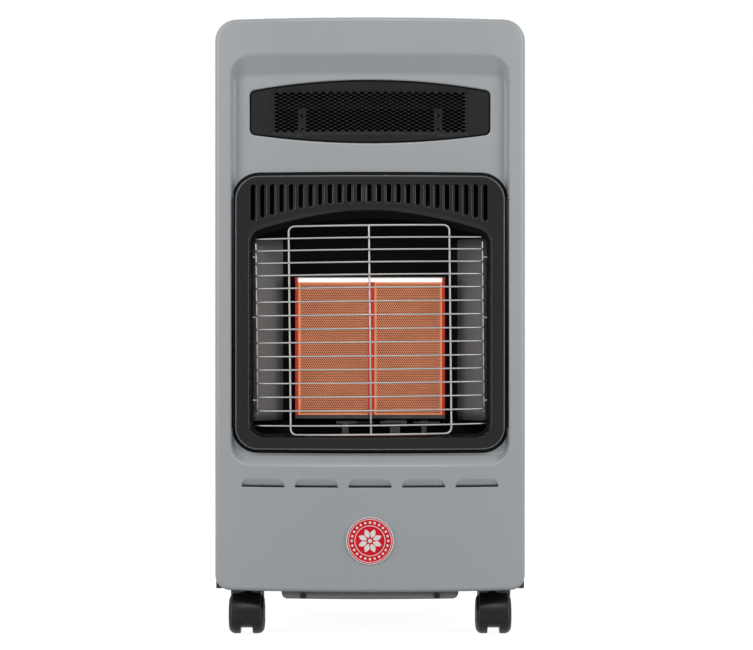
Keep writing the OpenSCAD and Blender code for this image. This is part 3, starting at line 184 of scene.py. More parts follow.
def mixed(a, b, t):
    """Loop a turned into loop b by t."""
    return [(p[0] + (q[0] - p[0]) * t, p[1] + (q[1] - p[1]) * t) for p, q in zip(a, b)]


MITRE_LIMIT = 0.5  # a corner point moves at most by / MITRE_LIMIT


def shifted(loop, by):
    """A closed loop moved sideways: inwards where by is above 0, whichever way round it runs."""
    p = np.array(loop)
    ahead = np.roll(p, -1, axis=0) - p
    area = np.sum(p[:, 0] * np.roll(p[:, 1], -1) - np.roll(p[:, 0], -1) * p[:, 1])
    side = np.stack([-ahead[:, 1], ahead[:, 0]], 1) * math.copysign(1, area)
    side /= np.linalg.norm(side, axis=1)[:, None]
    mean = side + np.roll(side, 1, axis=0)
    mean /= np.linalg.norm(mean, axis=1)[:, None]
    reach = by / np.maximum(np.sum(mean * side, 1), MITRE_LIMIT)
    return [(float(x), float(z)) for x, z in p + mean * reach[:, None]]


def inside(points, loop):
    """Which points lie inside a closed loop."""
    x, z = points[:, 0], points[:, 1]
    found = np.zeros(len(points), bool)
    for (x0, z0), (x1, z1) in zip(loop, np.roll(loop, -1, axis=0)):
        if z0 == z1:
            continue
        crossed = (z0 > z) != (z1 > z)
        found ^= crossed & (x < (x1 - x0) * (z - z0) / (z1 - z0) + x0)
    return found


def between(points, outer, holes):
    """Which points lie inside the loop outer and outside the loops holes."""
    found = inside(points, outer)
    for hole in holes:
        found &= ~inside(points, hole)
    return found


def denser(loop, step):
    """The points of a closed loop with more between them, at most a step apart."""
    ahead = np.roll(loop, -1, axis=0)
    return np.concatenate([
        p + (q - p) * np.linspace(0, 1, max(1, math.ceil(math.dist(p, q) / step)), endpoint=False)[:, None]
        for p, q in zip(loop, ahead)
    ])


RIM_CLEAR = 0.45  # least distance of a grid point from a rim, in pitches


def grid_between(outer, holes, pitch):
    """Grid points that lie between the loop outer and the loops holes and clear of both."""
    low, high = outer.min(0), outer.max(0)
    count = np.maximum(2, np.round((high - low) / pitch)).astype(int)
    gx, gz = np.meshgrid(*[np.linspace(low[k], high[k], count[k] + 1)[1:-1] for k in (0, 1)])
    grid = np.stack([gx.ravel(), gz.ravel()], 1)
    grid = grid[between(grid, outer, holes)]
    rims = np.concatenate([denser(loop, pitch / 3) for loop in [outer, *holes]])
    near = np.array([np.min(np.sum((rims - spot) ** 2, 1)) for spot in grid])
    return grid[near > (RIM_CLEAR * pitch) ** 2]


STRAIGHT_BACK = Vector((0, 1, 0))
WIRE_END = 0.45, 0.55  # how far a wire's softened end reaches and how thick it is there, in radii


class Shell:
    """Points and faces of one piece, gathered in millimetres."""

    def __init__(self):
        self.points = []
        self.faces = []
        self.paint = []  # material index of each face

    def add(self, points):
        start = len(self.points)
        self.points += points
        return list(range(start, len(self.points)))

    def ring(self, flat, depth):
        """A loop of (x, z) points at a depth, which is a function of x and z."""
        return self.add([(x, depth(x, z), z) for x, z in flat])

    def face(self, corners, paint=0):
        self.faces.append(tuple(corners))
        self.paint.append(paint)

    def strip(self, outer, inner, closed=True, paint=0):
        """Quads from one ring to the next."""
        n = len(outer)
        for i in range(n if closed else n - 1):
            j = (i + 1) % n
            self.face((outer[i], outer[j], inner[j], inner[i]), paint)

    def strips(self, rings, closed=True, paint=0):
        for a, b in zip(rings, rings[1:]):
            self.strip(a, b, closed, paint)

    def collar(self, ring, by, depth):
        """A narrow strip along a rim that keeps the face beside it smooth; returns its far ring."""
        loop = [(self.points[i][0], self.points[i][2]) for i in ring]
        far = self.ring(shifted(loop, by), depth)
        outer, inner = (ring, far) if by > 0 else (far, ring)
        self.strip(outer, inner)
        return far

    def fill(self, outer, holes, pitch, depth, collar=0.9):
        """Triangles between the ring outer and the rings holes, over a grid of that pitch."""
        if collar:
            outer = self.collar(outer, collar, depth)
            holes = [self.collar(hole, -collar, depth) for hole in holes]
        flat = np.array([(x, z) for x, _, z in self.points])
        loops = flat[outer], [flat[hole] for hole in holes]
        grid = grid_between(*loops, pitch)
        ids, edges = [], []
        for ring in (outer, *holes):
            start = len(ids)
            ids += ring
            edges += [(start + i, start + (i + 1) % len(ring)) for i in range(len(ring))]
        ids += self.add([(float(x), depth(float(x), float(z)), float(z)) for x, z in grid])
        spots = [Vector((self.points[i][0], self.points[i][2])) for i in ids]
        out, _, triangles, source, _, _ = delaunay_2d_cdt(spots, edges, [], 0, 1e-6)
        centres = np.array([[sum(out[i][k] for i in t) / 3 for k in (0, 1)] for t in triangles])
        for t, wanted in zip(triangles, between(centres, *loops)):
            if wanted:
                self.face([ids[source[i][0]] for i in t])

    def tube(self, path, radius, sides=12, closed=False):
        """A round wire along points in (x, depth, z), none of it straight back; its ends are softened."""
        path = [Vector(p) for p in path]
        last = len(path) - 1
        reach, share = WIRE_END
        rings = []
        for i, p in enumerate(path):
            before = path[i - 1] if closed else path[max(i - 1, 0)]
            after = path[(i + 1) % len(path)] if closed else path[min(i + 1, last)]
            ahead = (after - before).normalized()
            side = ahead.cross(STRAIGHT_BACK).normalized()
            top = side.cross(ahead)
            cuts = [(0, 1)]
            if not closed and i == 0:
                cuts = [(-reach, share), (0, 1)]
            elif not closed and i == last:
                cuts = [(0, 1), (reach, share)]
            for shift, thick in cuts:
                middle = p + ahead * (shift * radius)
                rings.append(self.add([
                    tuple(middle + radius * thick * (side * math.cos(a) + top * math.sin(a)))
                    for a in (2 * math.pi * k / sides for k in range(sides))
                ]))
        self.strips(rings + rings[:1] if closed else rings)
        if not closed:
            self.face(rings[0][::-1])
            self.face(rings[-1])

    def block(self, x, d, z, paint=0):
        """A box from its x, depth and z limits."""
        ids = self.add([(x[i], d[j], z[k]) for i in (0, 1) for j in (0, 1) for k in (0, 1)])
        for corners in ((0, 4, 5, 1), (4, 6, 7, 5), (6, 2, 3, 7), (2, 0, 1, 3), (1, 5, 7, 3), (0, 2, 6, 4)):
            self.face([ids[c] for c in corners], paint)

    def turn(self, profile, centre, steps=64, sweep=(0, 360), axis="x"):
        """A profile of (along the axis, radius) turned about the x or z axis through the centre."""
        cx, cd, cz = centre
        whole = sweep[1] - sweep[0] == 360
        count = steps if whole else steps + 1
        angles = [math.radians(sweep[0] + (sweep[1] - sweep[0]) * k / steps) for k in range(count)]
        rings = []
        for along, radius in profile:
            spots = [(radius * math.cos(a), radius * math.sin(a)) for a in angles]
            if axis == "x":
                rings.append(self.add([(cx + along, cd - u, cz + v) for u, v in spots]))
            else:
                rings.append(self.add([(cx + u, cd + v, cz + along) for u, v in spots]))
        self.strips(rings, closed=whole)

    def piece(self, name, looks, *nodes, slot, body="cabinet", sharp=32, sheet=0.0, bevel=0.0):
        """The mesh as a piece that rides on a body and stands for the CAD nodes named.

        `looks` names its materials by paint index. Edges over `sharp` degrees stay sharp, `bevel` softens
        them, and `sheet` is the wall thickness behind a single surface.
        """
        mesh = bpy.data.meshes.new(name)
        mesh.from_pydata([(x * MM, CREST_Y + d * MM, z * MM) for x, d, z in self.points], [], self.faces)
        for look in looks:
            mesh.materials.append(LOOK[look])
        mesh.polygons.foreach_set("material_index", self.paint)
        mesh.validate()
        mesh.shade_smooth()
        mesh.set_sharp_from_angle(angle=math.radians(sharp))
        obj = bpy.data.objects.new(name, mesh)
        bpy.context.scene.collection.objects.link(obj)
        if bevel:
            soft = obj.modifiers.new("soft edges", "BEVEL")
            soft.width, soft.segments, soft.limit_method = bevel * MM, 2, "ANGLE"
            soft.harden_normals = True
        if sheet:
            wall = obj.modifiers.new("sheet", "SOLIDIFY")
            wall.thickness, wall.offset = sheet * MM, -1
        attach(obj, body)
        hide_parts(*nodes)


# ---------------------------------------------------------------- materials


def srgb(r, g, b):
    """A colour given from 0 to 255 as linear values."""
    def linear(c):
        c /= 255
        return c / 12.92 if c <= 0.04045 else ((c + 0.055) / 1.055) ** 2.4

    return (linear(r), linear(g), linear(b), 1)


CLOUD_LOW, CLOUD_HIGH = 0.3, 0.7  # the part of the noise that is stretched to its full range


class Finish:
    """A material on a Principled shader, with its textures in object coordinates."""

    def __init__(self, name, color, roughness=0.5, metallic=0.0, **sockets):
        self.name = name
        self.material = bpy.data.materials.new(name)
        self.material.use_nodes = True
        self.tree = self.material.node_tree
        self.shader = self.tree.nodes["Principled BSDF"]
        self.color = color
        self.set("Base Color", color)
        self.set("Roughness", roughness)
        self.set("Metallic", metallic)
        for socket, value in sockets.items():
            self.set(socket.replace("_", " "), value)

    def set(self, socket, value):
        self.shader.inputs[socket].default_value = value

    def node(self, kind, **settings):
        made = self.tree.nodes.new(kind)
        for key, value in settings.items():
            if key in made.inputs:
                made.inputs[key].default_value = value
            else:
                setattr(made, key, value)
        return made

    def link(self, a, b):
        self.tree.links.new(a, b)

    def place(self, stretch=(1, 1, 1)):
        """Object coordinates, stretched along the axes."""
        at = self.node("ShaderNodeTexCoord")
        size = self.node("ShaderNodeMapping")
        size.inputs["Scale"].default_value = stretch
        self.link(at.outputs["Object"], size.inputs["Vector"])
        return size.outputs["Vector"]

    def noise(self, scale, detail, stretch):
        made = self.node("ShaderNodeTexNoise", Scale=scale, Detail=detail)
        self.link(self.place(stretch), made.inputs["Vector"])
        return made.outputs["Fac"]

    def clouds(self, scale, stretch, low, high):
        """Soft noise whose values run from low to high."""
        value = self.noise(scale, 4, stretch)
        made = self.node("ShaderNodeMapRange")
        limits = {"From Min": CLOUD_LOW, "From Max": CLOUD_HIGH, "To Min": low, "To Max": high}
        for socket, number in limits.items():
            made.inputs[socket].default_value = number
        self.link(value, made.inputs["Value"])
        return made.outputs["Result"]

    def shade(self, value, dark, light):
        """Base colour that runs from dark to light times the finish's own colour."""
        mix = self.node("ShaderNodeMix", data_type="RGBA")
        mix.inputs["A"].default_value = [c * dark for c in self.color[:3]] + [1]
        mix.inputs["B"].default_value = [min(c * light, 1) for c in self.color[:3]] + [1]
        self.link(value, mix.inputs["Factor"])
        self.link(mix.outputs["Result"], self.shader.inputs["Base Color"])
        return self

    def cloudy(self, scale, amount, stretch=(1, 1, 1)):
        """Soft uneven colour."""
        return self.shade(self.clouds(scale, stretch, 0, 1), 1 - amount, 1 + amount)

    def uneven_gloss(self, scale, low, high, stretch=(1, 1, 1)):
        self.link(self.clouds(scale, stretch, low, high), self.shader.inputs["Roughness"])
        return self

    def grain(self, scale, strength, depth=0.0002, stretch=(1, 1, 1)):
        """Fine bumps."""
        height = self.noise(scale, 3, stretch)
        made = self.node("ShaderNodeBump", Strength=strength, Distance=depth)
        self.link(height, made.inputs["Height"])
        self.link(made.outputs["Normal"], self.shader.inputs["Normal"])
        return self

    def cells(self, scale, dark, light):
        """Flakes of crystal, as on zinc-coated sheet."""
        made = self.node("ShaderNodeTexVoronoi", Scale=scale)
        self.link(self.place(), made.inputs["Vector"])
        split = self.node("ShaderNodeSeparateColor")
        self.link(made.outputs["Color"], split.inputs["Color"])
        return self.shade(split.outputs["Red"], dark, light)


def glowing(color, strength):
    """Settings of a finish that gives off light."""
    return {"Emission_Color": color, "Emission_Strength": strength}


FINISHES = [
    # for the record's material slots
    Finish("grey_paint", srgb(157, 161, 164), 0.42, Coat_Weight=0.25, Coat_Roughness=0.18)
    .cloudy(6, 0.015).grain(900, 0.10),
    Finish("black_paint", srgb(34, 34, 35), 0.5).cloudy(14, 0.12).grain(1100, 0.12),
    Finish("black_enamel", srgb(9, 9, 10), 0.1, Specular_IOR_Level=0.3).uneven_gloss(60, 0.08, 0.12),
    Finish("mesh_black", srgb(22, 22, 23), 0.5, Specular_IOR_Level=0.18).cloudy(60, 0.15).grain(1500, 0.2),
    Finish("black_screw", srgb(22, 22, 23), 0.35, 0.6).uneven_gloss(400, 0.3, 0.45),
    Finish("zinc_steel", srgb(172, 176, 178), 0.38, 0.9).cells(140, 0.82, 1.05),
    Finish("reflector_steel", srgb(112, 112, 111), 0.45, 0.35)
    .cloudy(12, 0.16, (1, 1, 0.3)).grain(300, 0.2, stretch=(1, 1, 0.04)),
    Finish("black_plastic", srgb(26, 26, 27), 0.48, Specular_IOR_Level=0.3)
    .cloudy(40, 0.1).grain(1600, 0.25),
    Finish("badge_red", srgb(214, 12, 38), 0.35, Specular_IOR_Level=0.25).cloudy(40, 0.05),
    Finish("guard_chrome", srgb(160, 160, 159), 0.42, 0.85).uneven_gloss(200, 0.38, 0.46),
    Finish("hot_ceramic", srgb(216, 140, 104), 0.85, **glowing(srgb(235, 120, 76), 0.16))
    .cloudy(30, 0.10, (1, 1, 2)),
    # The gasket's glow is painted light that makes it read pure white.
    Finish("white_fibre", srgb(244, 243, 240), 0.9, **glowing(srgb(255, 250, 246), 0.55))
    .cloudy(200, 0.04).grain(900, 0.5, 0.0004),
    Finish("white_ceramic", srgb(236, 235, 228), 0.18).cloudy(60, 0.03),
    Finish("brass", srgb(196, 164, 96), 0.3, 1.0).uneven_gloss(300, 0.24, 0.4),
    Finish("copper", srgb(196, 122, 88), 0.3, 1.0).uneven_gloss(200, 0.22, 0.42),
    Finish("button_red", srgb(170, 26, 26), 0.3, Coat_Weight=0.3).cloudy(50, 0.04),
    Finish("caster_plastic", srgb(20, 20, 21), 0.36, Specular_IOR_Level=0.22)
    .cloudy(50, 0.12).grain(1400, 0.15),
    Finish("axle_steel", srgb(150, 150, 152), 0.3, 1.0).uneven_gloss(300, 0.25, 0.4, (0.2, 1, 1)),
    Finish("wheel_plastic", srgb(17, 17, 18), 0.42, Specular_IOR_Level=0.22)
    .cloudy(50, 0.12).grain(1200, 0.2),
    # for single pieces or some of their faces
    # Painted shade: a darker grey for the kick plate, which sits in shade under the panel's lower edge.
    Finish("painted_shade_grey", srgb(104, 106, 108), 0.5, Specular_IOR_Level=0.3)
    .cloudy(14, 0.06).grain(1100, 0.12),
    # Painted highlight: a lighter enamel on the surround's ridge and on the rims of its vent slots.
    Finish("painted_highlight_enamel", srgb(84, 84, 85), 0.25).uneven_gloss(60, 0.2, 0.3),
    # Painted shade: near-black for the surround's skirt and inner roll, the reflectors' flanges beside the
    # burner, and the firebox, outlet duct and pilot bracket.
    Finish("painted_shade_black", srgb(10, 10, 10), 0.8, Specular_IOR_Level=0.1).cloudy(30, 0.2),
    # Painted shade: darkened steel for the burner, pilot parts and air deflector that sit in the firebox's
    # shade.
    Finish("painted_shade_steel", srgb(74, 72, 70), 0.6, 0.7).cloudy(40, 0.2).grain(700, 0.2),
    # Painted shade: dark red in the plaques' holes and on the sheet behind them.
    Finish("painted_shade_hole", srgb(74, 28, 20), 0.9).cloudy(60, 0.1),
    Finish("hot_rim", srgb(236, 158, 114), 0.85, **glowing(srgb(250, 150, 100), 0.22)).cloudy(60, 0.06),
    # Painted light: a red glow on the burner frame's lips and divider beside the plaques, standing for the
    # plaques' light.
    Finish("painted_glow_steel", srgb(166, 36, 20), 0.6, **glowing(srgb(220, 50, 24), 0.2)).cloudy(90, 0.15),
    Finish("badge_white", srgb(232, 230, 228), 0.3).cloudy(60, 0.03),
    Finish("badge_rim", srgb(196, 196, 198), 0.22, 1.0).uneven_gloss(300, 0.16, 0.3),
]
LOOK = {finish.name: finish.material for finish in FINISHES}
OWN_LOOK = {  # painted shade: darker looks for nodes that sit in shade, in the firebox, behind the mesh and under the panel
    "air_deflector": "painted_shade_steel", "burner_plenum": "painted_shade_steel", "pilot_burner": "painted_shade_steel",
    "spark_electrode": "painted_shade_steel", "thermocouple": "painted_shade_steel",
    "outlet_duct": "painted_shade_black", "firebox": "painted_shade_black", "pilot_bracket": "painted_shade_black", "kick_plate": "painted_shade_grey",
}


def dress_frame():
    """Each CAD node takes the look of the record's material slot, or its own where it has one."""
    slots = {s["node"]: s["material_slot"] for s in frame["record"]["subparts"]}
    for name, obj in frame["nodes"].items():
        obj.data.materials.clear()
        obj.data.materials.append(LOOK[OWN_LOOK.get(name, slots[name])])


dress_frame()

# ---------------------------------------------------------------- front panel

EDGE_R = 4.5  # round from the face to the skirt
TOP_R, BOTTOM_R = 25, 18  # corners of the outline
PANEL_GRID, PANEL_SHEET = 6, 0.9

RECESS_HALF, RECESS_R = 168.2, 28  # where the shoulder starts
RECESS_BOTTOM, RECESS_TOP = 202.3, TOP_Z - 40.5
RECESS_DEPTH = 12
FLOOR_HALF, FLOOR_R = 160.4, 9  # where the shoulder ends
FLOOR_BOTTOM, FLOOR_TOP = RECESS_BOTTOM + 16.2, RECESS_TOP - 28.5
FILLET = 4.5  # reach of the soft bend at both ends of the shoulder
SHOULDER_CUTS = [0, 0.04, 0.08, 0.12, 0.17, 0.25, 0.37, 0.5, 0.63, 0.75, 0.83, 0.88, 0.92, 0.96, 1]
FIRE_OPENING = (147.4, 230.8, 544, 12, 20)  # half width, bottom, top, upper and lower corners

WIN_Z = RECESS_TOP - 70.5  # middle of the outlet window
# its half width, half height in the middle, how much lower it is at the sides, and its corners
WIN_HALF, WIN_MID, WIN_DROP, WIN_R = 143.6, 37.5, 11.6, 7
WIN_ARC = (WIN_HALF**2 + WIN_DROP**2) / (2 * WIN_DROP)
LIP_R = 1.9

LOUVRE_X = [(i - 2) * 63.5 for i in range(5)]
LOUVRE_Z = 178.4
LOUVRE_H, LOUVRE_HALF, LOUVRE_END = 10.3, 25.8, 8  # height, half width, reach of the round ends
LOUVRE_DEPTH, LOUVRE_SLIT, LOUVRE_TAPER = 3.2, 1.3, 0.975
LOUVRE_CUTS, LOUVRE_BEND, LOUVRE_END_STEPS = (0, 0.06, 0.14, 0.3, 0.5, 0.75, 1), 0.12, 7


def quarter(r, steps):
    """(offset, inset) along a quarter round, from the side wall to the face."""
    for k in range(steps + 1):
        a = math.pi / 2 * k / steps
        yield r * (1 - math.cos(a)), r * (1 - math.sin(a))


def bend(u, q):
    """A slope from 0 to 1 whose ends are rounded over the share q."""
    if u < q:
        return u * u / (2 * q * (1 - q))
    if u > 1 - q:
        return 1 - (1 - u) ** 2 / (2 * q * (1 - q))
    return (u - q / 2) / (1 - q)


def outline(t):
    """The front panel seen from the front, t inside its edge."""
    return round_rect(HALF_W - t, PANEL_Z + t, TOP_Z - t, TOP_R - t, BOTTOM_R - t)


def recess_rings(shell):
    """The soft shoulder from the panel's face down to the recess floor."""
    outer = round_rect(RECESS_HALF, RECESS_BOTTOM, RECESS_TOP, RECESS_R, RECESS_R)
    inner = round_rect(FLOOR_HALF, FLOOR_BOTTOM, FLOOR_TOP, FLOOR_R, FLOOR_R)
    widths = [math.dist(p, q) for p, q in zip(outer, inner)]
    rings = []
    for u in SHOULDER_CUTS:
        flat = mixed(outer, inner, u)
        insets = [RECESS_DEPTH * bend(u, min(0.5, FILLET / w)) for w in widths]
        rings.append(shell.add([(x, bow(x, s), z) for (x, z), s in zip(flat, insets)]))
    shell.strips(rings)
    return rings[0], rings[-1]


def louvre(shell, x0):
    """A pressed hood with an open slit below it; its outline is left as a hole for the face."""
    ends = [
        (LOUVRE_HALF - LOUVRE_END * (1 - math.cos(a)), LOUVRE_H * math.sin(a))
        for a in (math.pi / 2 * k / LOUVRE_END_STEPS for k in range(LOUVRE_END_STEPS + 1))
    ]
    rim = ends + line(ends[-1], (-ends[-1][0], LOUVRE_H), 10) + [(-x, z) for x, z in ends[::-1]]
    slit = [(x * LOUVRE_TAPER, LOUVRE_SLIT) for x, _ in rim]

    def ring(flat, inset=0.0):
        return shell.ring([(x0 + x, LOUVRE_Z + z) for x, z in flat], bowed(inset))

    rings = [ring(mixed(rim, slit, t), LOUVRE_DEPTH * bend(t, LOUVRE_BEND)) for t in LOUVRE_CUTS]
    shell.strips(rings, closed=False)
    return rings[0] + ring(line(rim[-1], rim[0], 9))


def front_panel():
    shell = Shell()
    rings = [shell.ring(outline(0), level(SKIRT_D))]
    rings += [shell.ring(outline(t), bowed(inset)) for t, inset in quarter(EDGE_R, 6)]
    shell.strips(rings)
    recess, floor = recess_rings(shell)
    holes = [louvre(shell, x) for x in LOUVRE_X]
    shell.fill(rings[-1], [recess, *holes], PANEL_GRID, bowed())
    lip = list(quarter(LIP_R, 4))[::-1]
    window = [shell.ring(lens_loop(t), bowed(RECESS_DEPTH + inset)) for t, inset in lip]
    shell.strips(window)
    opening = shell.ring(round_rect(*FIRE_OPENING), bowed(RECESS_DEPTH))
    shell.fill(floor, [window[0], opening], PANEL_GRID, bowed(RECESS_DEPTH))
    shell.piece("front_panel_skin", ["grey_paint"], "front_panel", slot="grey_paint", sheet=PANEL_SHEET)


front_panel()

# ---------------------------------------------------------------- fire surround

SUR_HALF, SUR_BOTTOM, SUR_TOP, SUR_RT, SUR_RB = 165.3, 218.3, 552.6, 33, 31
SUR_GRID, SUR_SHEET = 7, 0.8
# the section of the rim as (distance inside the outline, inset)
SUR_SKIRT = [(0.0, 11.9), (0.9, 11.3), (2.0, 10.3), (3.1, 8.8), (3.9, 6.9), (4.3, 5.2)]
SUR_RIDGE = [(4.3, 5.2), (4.5, 4.5), (4.8, 4.1), (5.2, 3.9), (5.8, 3.95)]
SUR_EDGE = [(5.8, 3.95), (6.6, 4.25), (7.8, 4.5), (10.5, 4.6)]
SUR_FACE = 4.6

ARCH_R = 432
# the fire arch as (half width, bottom, crown, radius, upper and lower corners)
ARCH_START = (146, 236.3, 510.3, ARCH_R + 2, 16, 20)
ARCH_LIP = (139.6, 241.2, 501.8, ARCH_R - 4, 13, 14)
ARCH_BACK, ARCH_BACK_INSET = (140.2, 240.6, 497.5, ARCH_R - 4, 13, 14), 16.5
# the section of its roll as (share of the way from the face to the lip, how far behind the face)
ROLL_BRIGHT = [
    (0, 0), (0.05, 0.03), (0.1, 0.12), (0.16, 0.35), (0.22, 0.75), (0.3, 1.4), (0.42, 2.3), (0.55, 3.2),
    (0.62, 3.8), (0.68, 4.5),
]
# The inner part of the roll, nearest the lip, is painted near-black as painted shade.
ROLL_PAINTED_SHADE = [(0.76, 5.6), (0.85, 6.8), (0.91, 7.7), (0.96, 8.8), (1, 10.2)]

SLOT_COUNT, SLOT_PITCH, SLOT_TOP, SLOT_W = 25, 11.5, 537.5, 4.8
SLOT_SHIFT = -1.1
SLOT_ARC_Z, SLOT_ARC_R = 508.5 - ARCH_R, ARCH_R + 7.5  # the arc that their lower ends follow
SLOT_OUTER, SLOT_INNER, SLOT_DROP = 1.0, 2.2, 1.7  # reach of the bevel to both sides, and its depth
SLOT_END = 1.2  # its reach at the top
SLOT_LOW, SLOT_FACE_LOW = 1.4, -0.5  # lower end of the opening and of the bevel, above the arc
SLOT_CUTS, SLOT_BEND, SLOT_BACK = (0, 0.1, 0.2, 0.35, 0.5, 0.75, 1), 0.3, 11


def surround_outline(t):
    return round_rect(SUR_HALF - t, SUR_BOTTOM + t, SUR_TOP - t, SUR_RT - t, SUR_RB - t)


def panel_inset(x):
    """How deep the panel lies at the foot of the surround."""
    u = (RECESS_HALF - abs(x)) / (RECESS_HALF - FLOOR_HALF)
    return RECESS_DEPTH * bend(min(max(u, 0), 1), 0.5)


def vent_slot(shell, x0):
    """A slot whose bevel is widest on the side of the middle; returns its ring in the face."""
    outwards = math.copysign(1, x0)
    x, foot = x0 + SLOT_SHIFT, SLOT_ARC_Z + math.sqrt(SLOT_ARC_R**2 - x0 * x0)
    opening = slot_loop(x, foot + SLOT_LOW, SLOT_TOP, SLOT_W)
    in_face = slot_loop(
        x + outwards * (SLOT_OUTER - SLOT_INNER) / 2, foot + SLOT_FACE_LOW, SLOT_TOP + SLOT_END,
        SLOT_W + SLOT_OUTER + SLOT_INNER,
    )
    rings = [
        shell.ring(mixed(in_face, opening, t), bowed(SUR_FACE + SLOT_DROP * bend(t, SLOT_BEND)))
        for t in SLOT_CUTS
    ]
    rings.append(shell.ring(opening, bowed(SLOT_BACK)))
    # The outer band of the bevel carries a painted highlight.
    shell.strips(rings[:2], paint=2)
    shell.strips(rings[1:])
    return rings[0]


def fire_surround():
    shell = Shell()
    # The skirt is painted near-black as painted shade, and the ridge carries a painted highlight.
    for profile, paint in ((SUR_SKIRT, 1), (SUR_RIDGE, 2), (SUR_EDGE, 0)):
        rings = []
        for t, inset in profile:
            rings.append(shell.ring(surround_outline(t), lambda x, z: bow(x, min(inset, panel_inset(x)))))
        shell.strips(rings, paint=paint)
    start, lip = arch_loop(*ARCH_START), arch_loop(*ARCH_LIP)
    rolls = [
        shell.ring(mixed(start, lip, t), bowed(SUR_FACE + inset)) for t, inset in ROLL_BRIGHT + ROLL_PAINTED_SHADE
    ]
    rolls.append(shell.ring(arch_loop(*ARCH_BACK), bowed(ARCH_BACK_INSET)))
    bright = len(ROLL_BRIGHT)
    shell.strips(rolls[:bright])
    shell.strips(rolls[bright - 1:], paint=1)
    holes = [vent_slot(shell, (i - (SLOT_COUNT - 1) / 2) * SLOT_PITCH) for i in range(SLOT_COUNT)]
    shell.fill(rings[-1], [rolls[0], *holes], SUR_GRID, bowed(SUR_FACE), collar=0.45)
    looks = ["black_enamel", "painted_shade_black", "painted_highlight_enamel"]
    shell.piece("surround_skin", looks, "fire_surround", slot="black_enamel", sheet=SUR_SHEET)


fire_surround()

# ---------------------------------------------------------------- outlet mesh

MESH_HALF, MESH_MID = 115.5, 23.5  # half the width and height that the holes take up
MESH_PITCH_X, MESH_PITCH_Z = 9.24, 4.4
MESH_HOLE_W, MESH_HOLE_H, MESH_HOLE_FLAT = 6.9, 3.0, 0.45  # the last one is a share of the width
MESH_INSET, MESH_GROOVE = 13.2, 16.5
MESH_GRID, MESH_SHEET = 7, 0.7
# the section of its rim as (distance outside the window, inset)
MESH_RIM = [(5, MESH_GROOVE), (-1.7, MESH_GROOVE), (-1.8, MESH_INSET + 0.4), (-2.2, MESH_INSET)]


def outlet_mesh():
    shell = Shell()
    rims = [shell.ring(lens_loop(g), bowed(inset)) for g, inset in MESH_RIM]
    shell.strips(rims)
    w, h, flat = MESH_HOLE_W / 2, MESH_HOLE_H / 2, MESH_HOLE_W / 2 * MESH_HOLE_FLAT
    hole = [(w, 0), (flat, h), (-flat, h), (-w, 0), (-flat, -h), (flat, -h)]
    nx, nz = int(MESH_HALF / MESH_PITCH_X), int(MESH_MID / MESH_PITCH_Z)
    places = [(i, j) for i in range(-nx, nx + 1) for j in range(-nz, nz + 1)]
    places += [(i + 0.5, j + 0.5) for i in range(-nx, nx) for j in range(-nz, nz)]
    places = [(i * MESH_PITCH_X, WIN_Z + j * MESH_PITCH_Z) for i, j in places]
    holes = [shell.ring([(cx + x, cz + z) for x, z in hole], bowed(MESH_INSET)) for cx, cz in places]
    shell.fill(rims[-1], holes, MESH_GRID, bowed(MESH_INSET), collar=0)
    shell.piece("outlet_mesh", ["mesh_black"], "outlet_grille", slot="mesh_black", sheet=MESH_SHEET)


outlet_mesh()

# ---------------------------------------------------------------- wire guard

ROD_R, FRAME_WIRE_R, UPRIGHT_R, TAIL_R = 1.0, 1.2, 1.2, 1.0
WELD = 0.3  # how far two crossing wires are melted into each other
ROD_HALF, SIDE_X, FRAME_HALF, FRAME_R = 138.6, 135.4, 95.5, 7
ROD_STEPS = 48
GUARD_CREST, GUARD_RISE, GUARD_ARC_HALF = 2, 32, 135.8
GUARD_R = (GUARD_ARC_HALF**2 + GUARD_RISE**2) / (2 * GUARD_RISE)
FRAME_LOW, FRAME_HIGH, GUARD_MID, GUARD_TILT = 241.0, 488.9, 366, math.radians(0.6)
RODS = [  # heights above the lower end of the frame
    10.8, 28.5, 44.9, 61.2, 77.3, 93.2, 109.6, 125.6, 142, 158.2, 174.4, 189.8, 204.6, 219.3, 233.5,
]
SIDE_LOW, SIDE_HIGH = 266, 469
TAILS, TAIL_LENGTH = [281, 380, 452], 14


def guard_depth(x):
    return GUARD_CREST + GUARD_R - math.sqrt(GUARD_R**2 - x * x)


def tilted(points):
    """The guard hangs a little askew in its holes."""
    c, s = math.cos(GUARD_TILT), math.sin(GUARD_TILT)
    return [
        (x * c - (z - GUARD_MID) * s, d, GUARD_MID + x * s + (z - GUARD_MID) * c) for x, d, z in points
    ]


def wire_guard():
    """Rods on a rounded frame with an upright in the middle, a side wire at each end, and tails."""
    shell = Shell()
    behind = ROD_R + FRAME_WIRE_R - WELD
    for height in RODS:
        xs = [ROD_HALF * (k / (ROD_STEPS // 2) - 1) for k in range(ROD_STEPS + 1)]
        shell.tube(tilted([(x, guard_depth(x), FRAME_LOW + height) for x in xs]), ROD_R)
    loop = round_rect(FRAME_HALF, FRAME_LOW, FRAME_HIGH, FRAME_R, FRAME_R, flat=30, side=12, corner=8)
    shell.tube(tilted([(x, guard_depth(x) + behind, z) for x, z in loop]), FRAME_WIRE_R, closed=True)
    shell.tube(tilted([(0, guard_depth(0) + behind, z) for z in (FRAME_LOW, FRAME_HIGH)]), UPRIGHT_R)
    side_d = guard_depth(SIDE_X) + behind
    for s in (-1, 1):
        shell.tube(tilted([(s * SIDE_X, side_d, z) for z in (SIDE_LOW, SIDE_HIGH)]), UPRIGHT_R)
        for z in TAILS:
            shell.tube([(s * SIDE_X, side_d, z), (s * (SIDE_X + TAIL_LENGTH), side_d, z)], TAIL_R)
    shell.piece("guard_wires", ["guard_chrome"], "wire_guard", slot="guard_chrome", sharp=50)


wire_guard()

# ---------------------------------------------------------------- reflectors

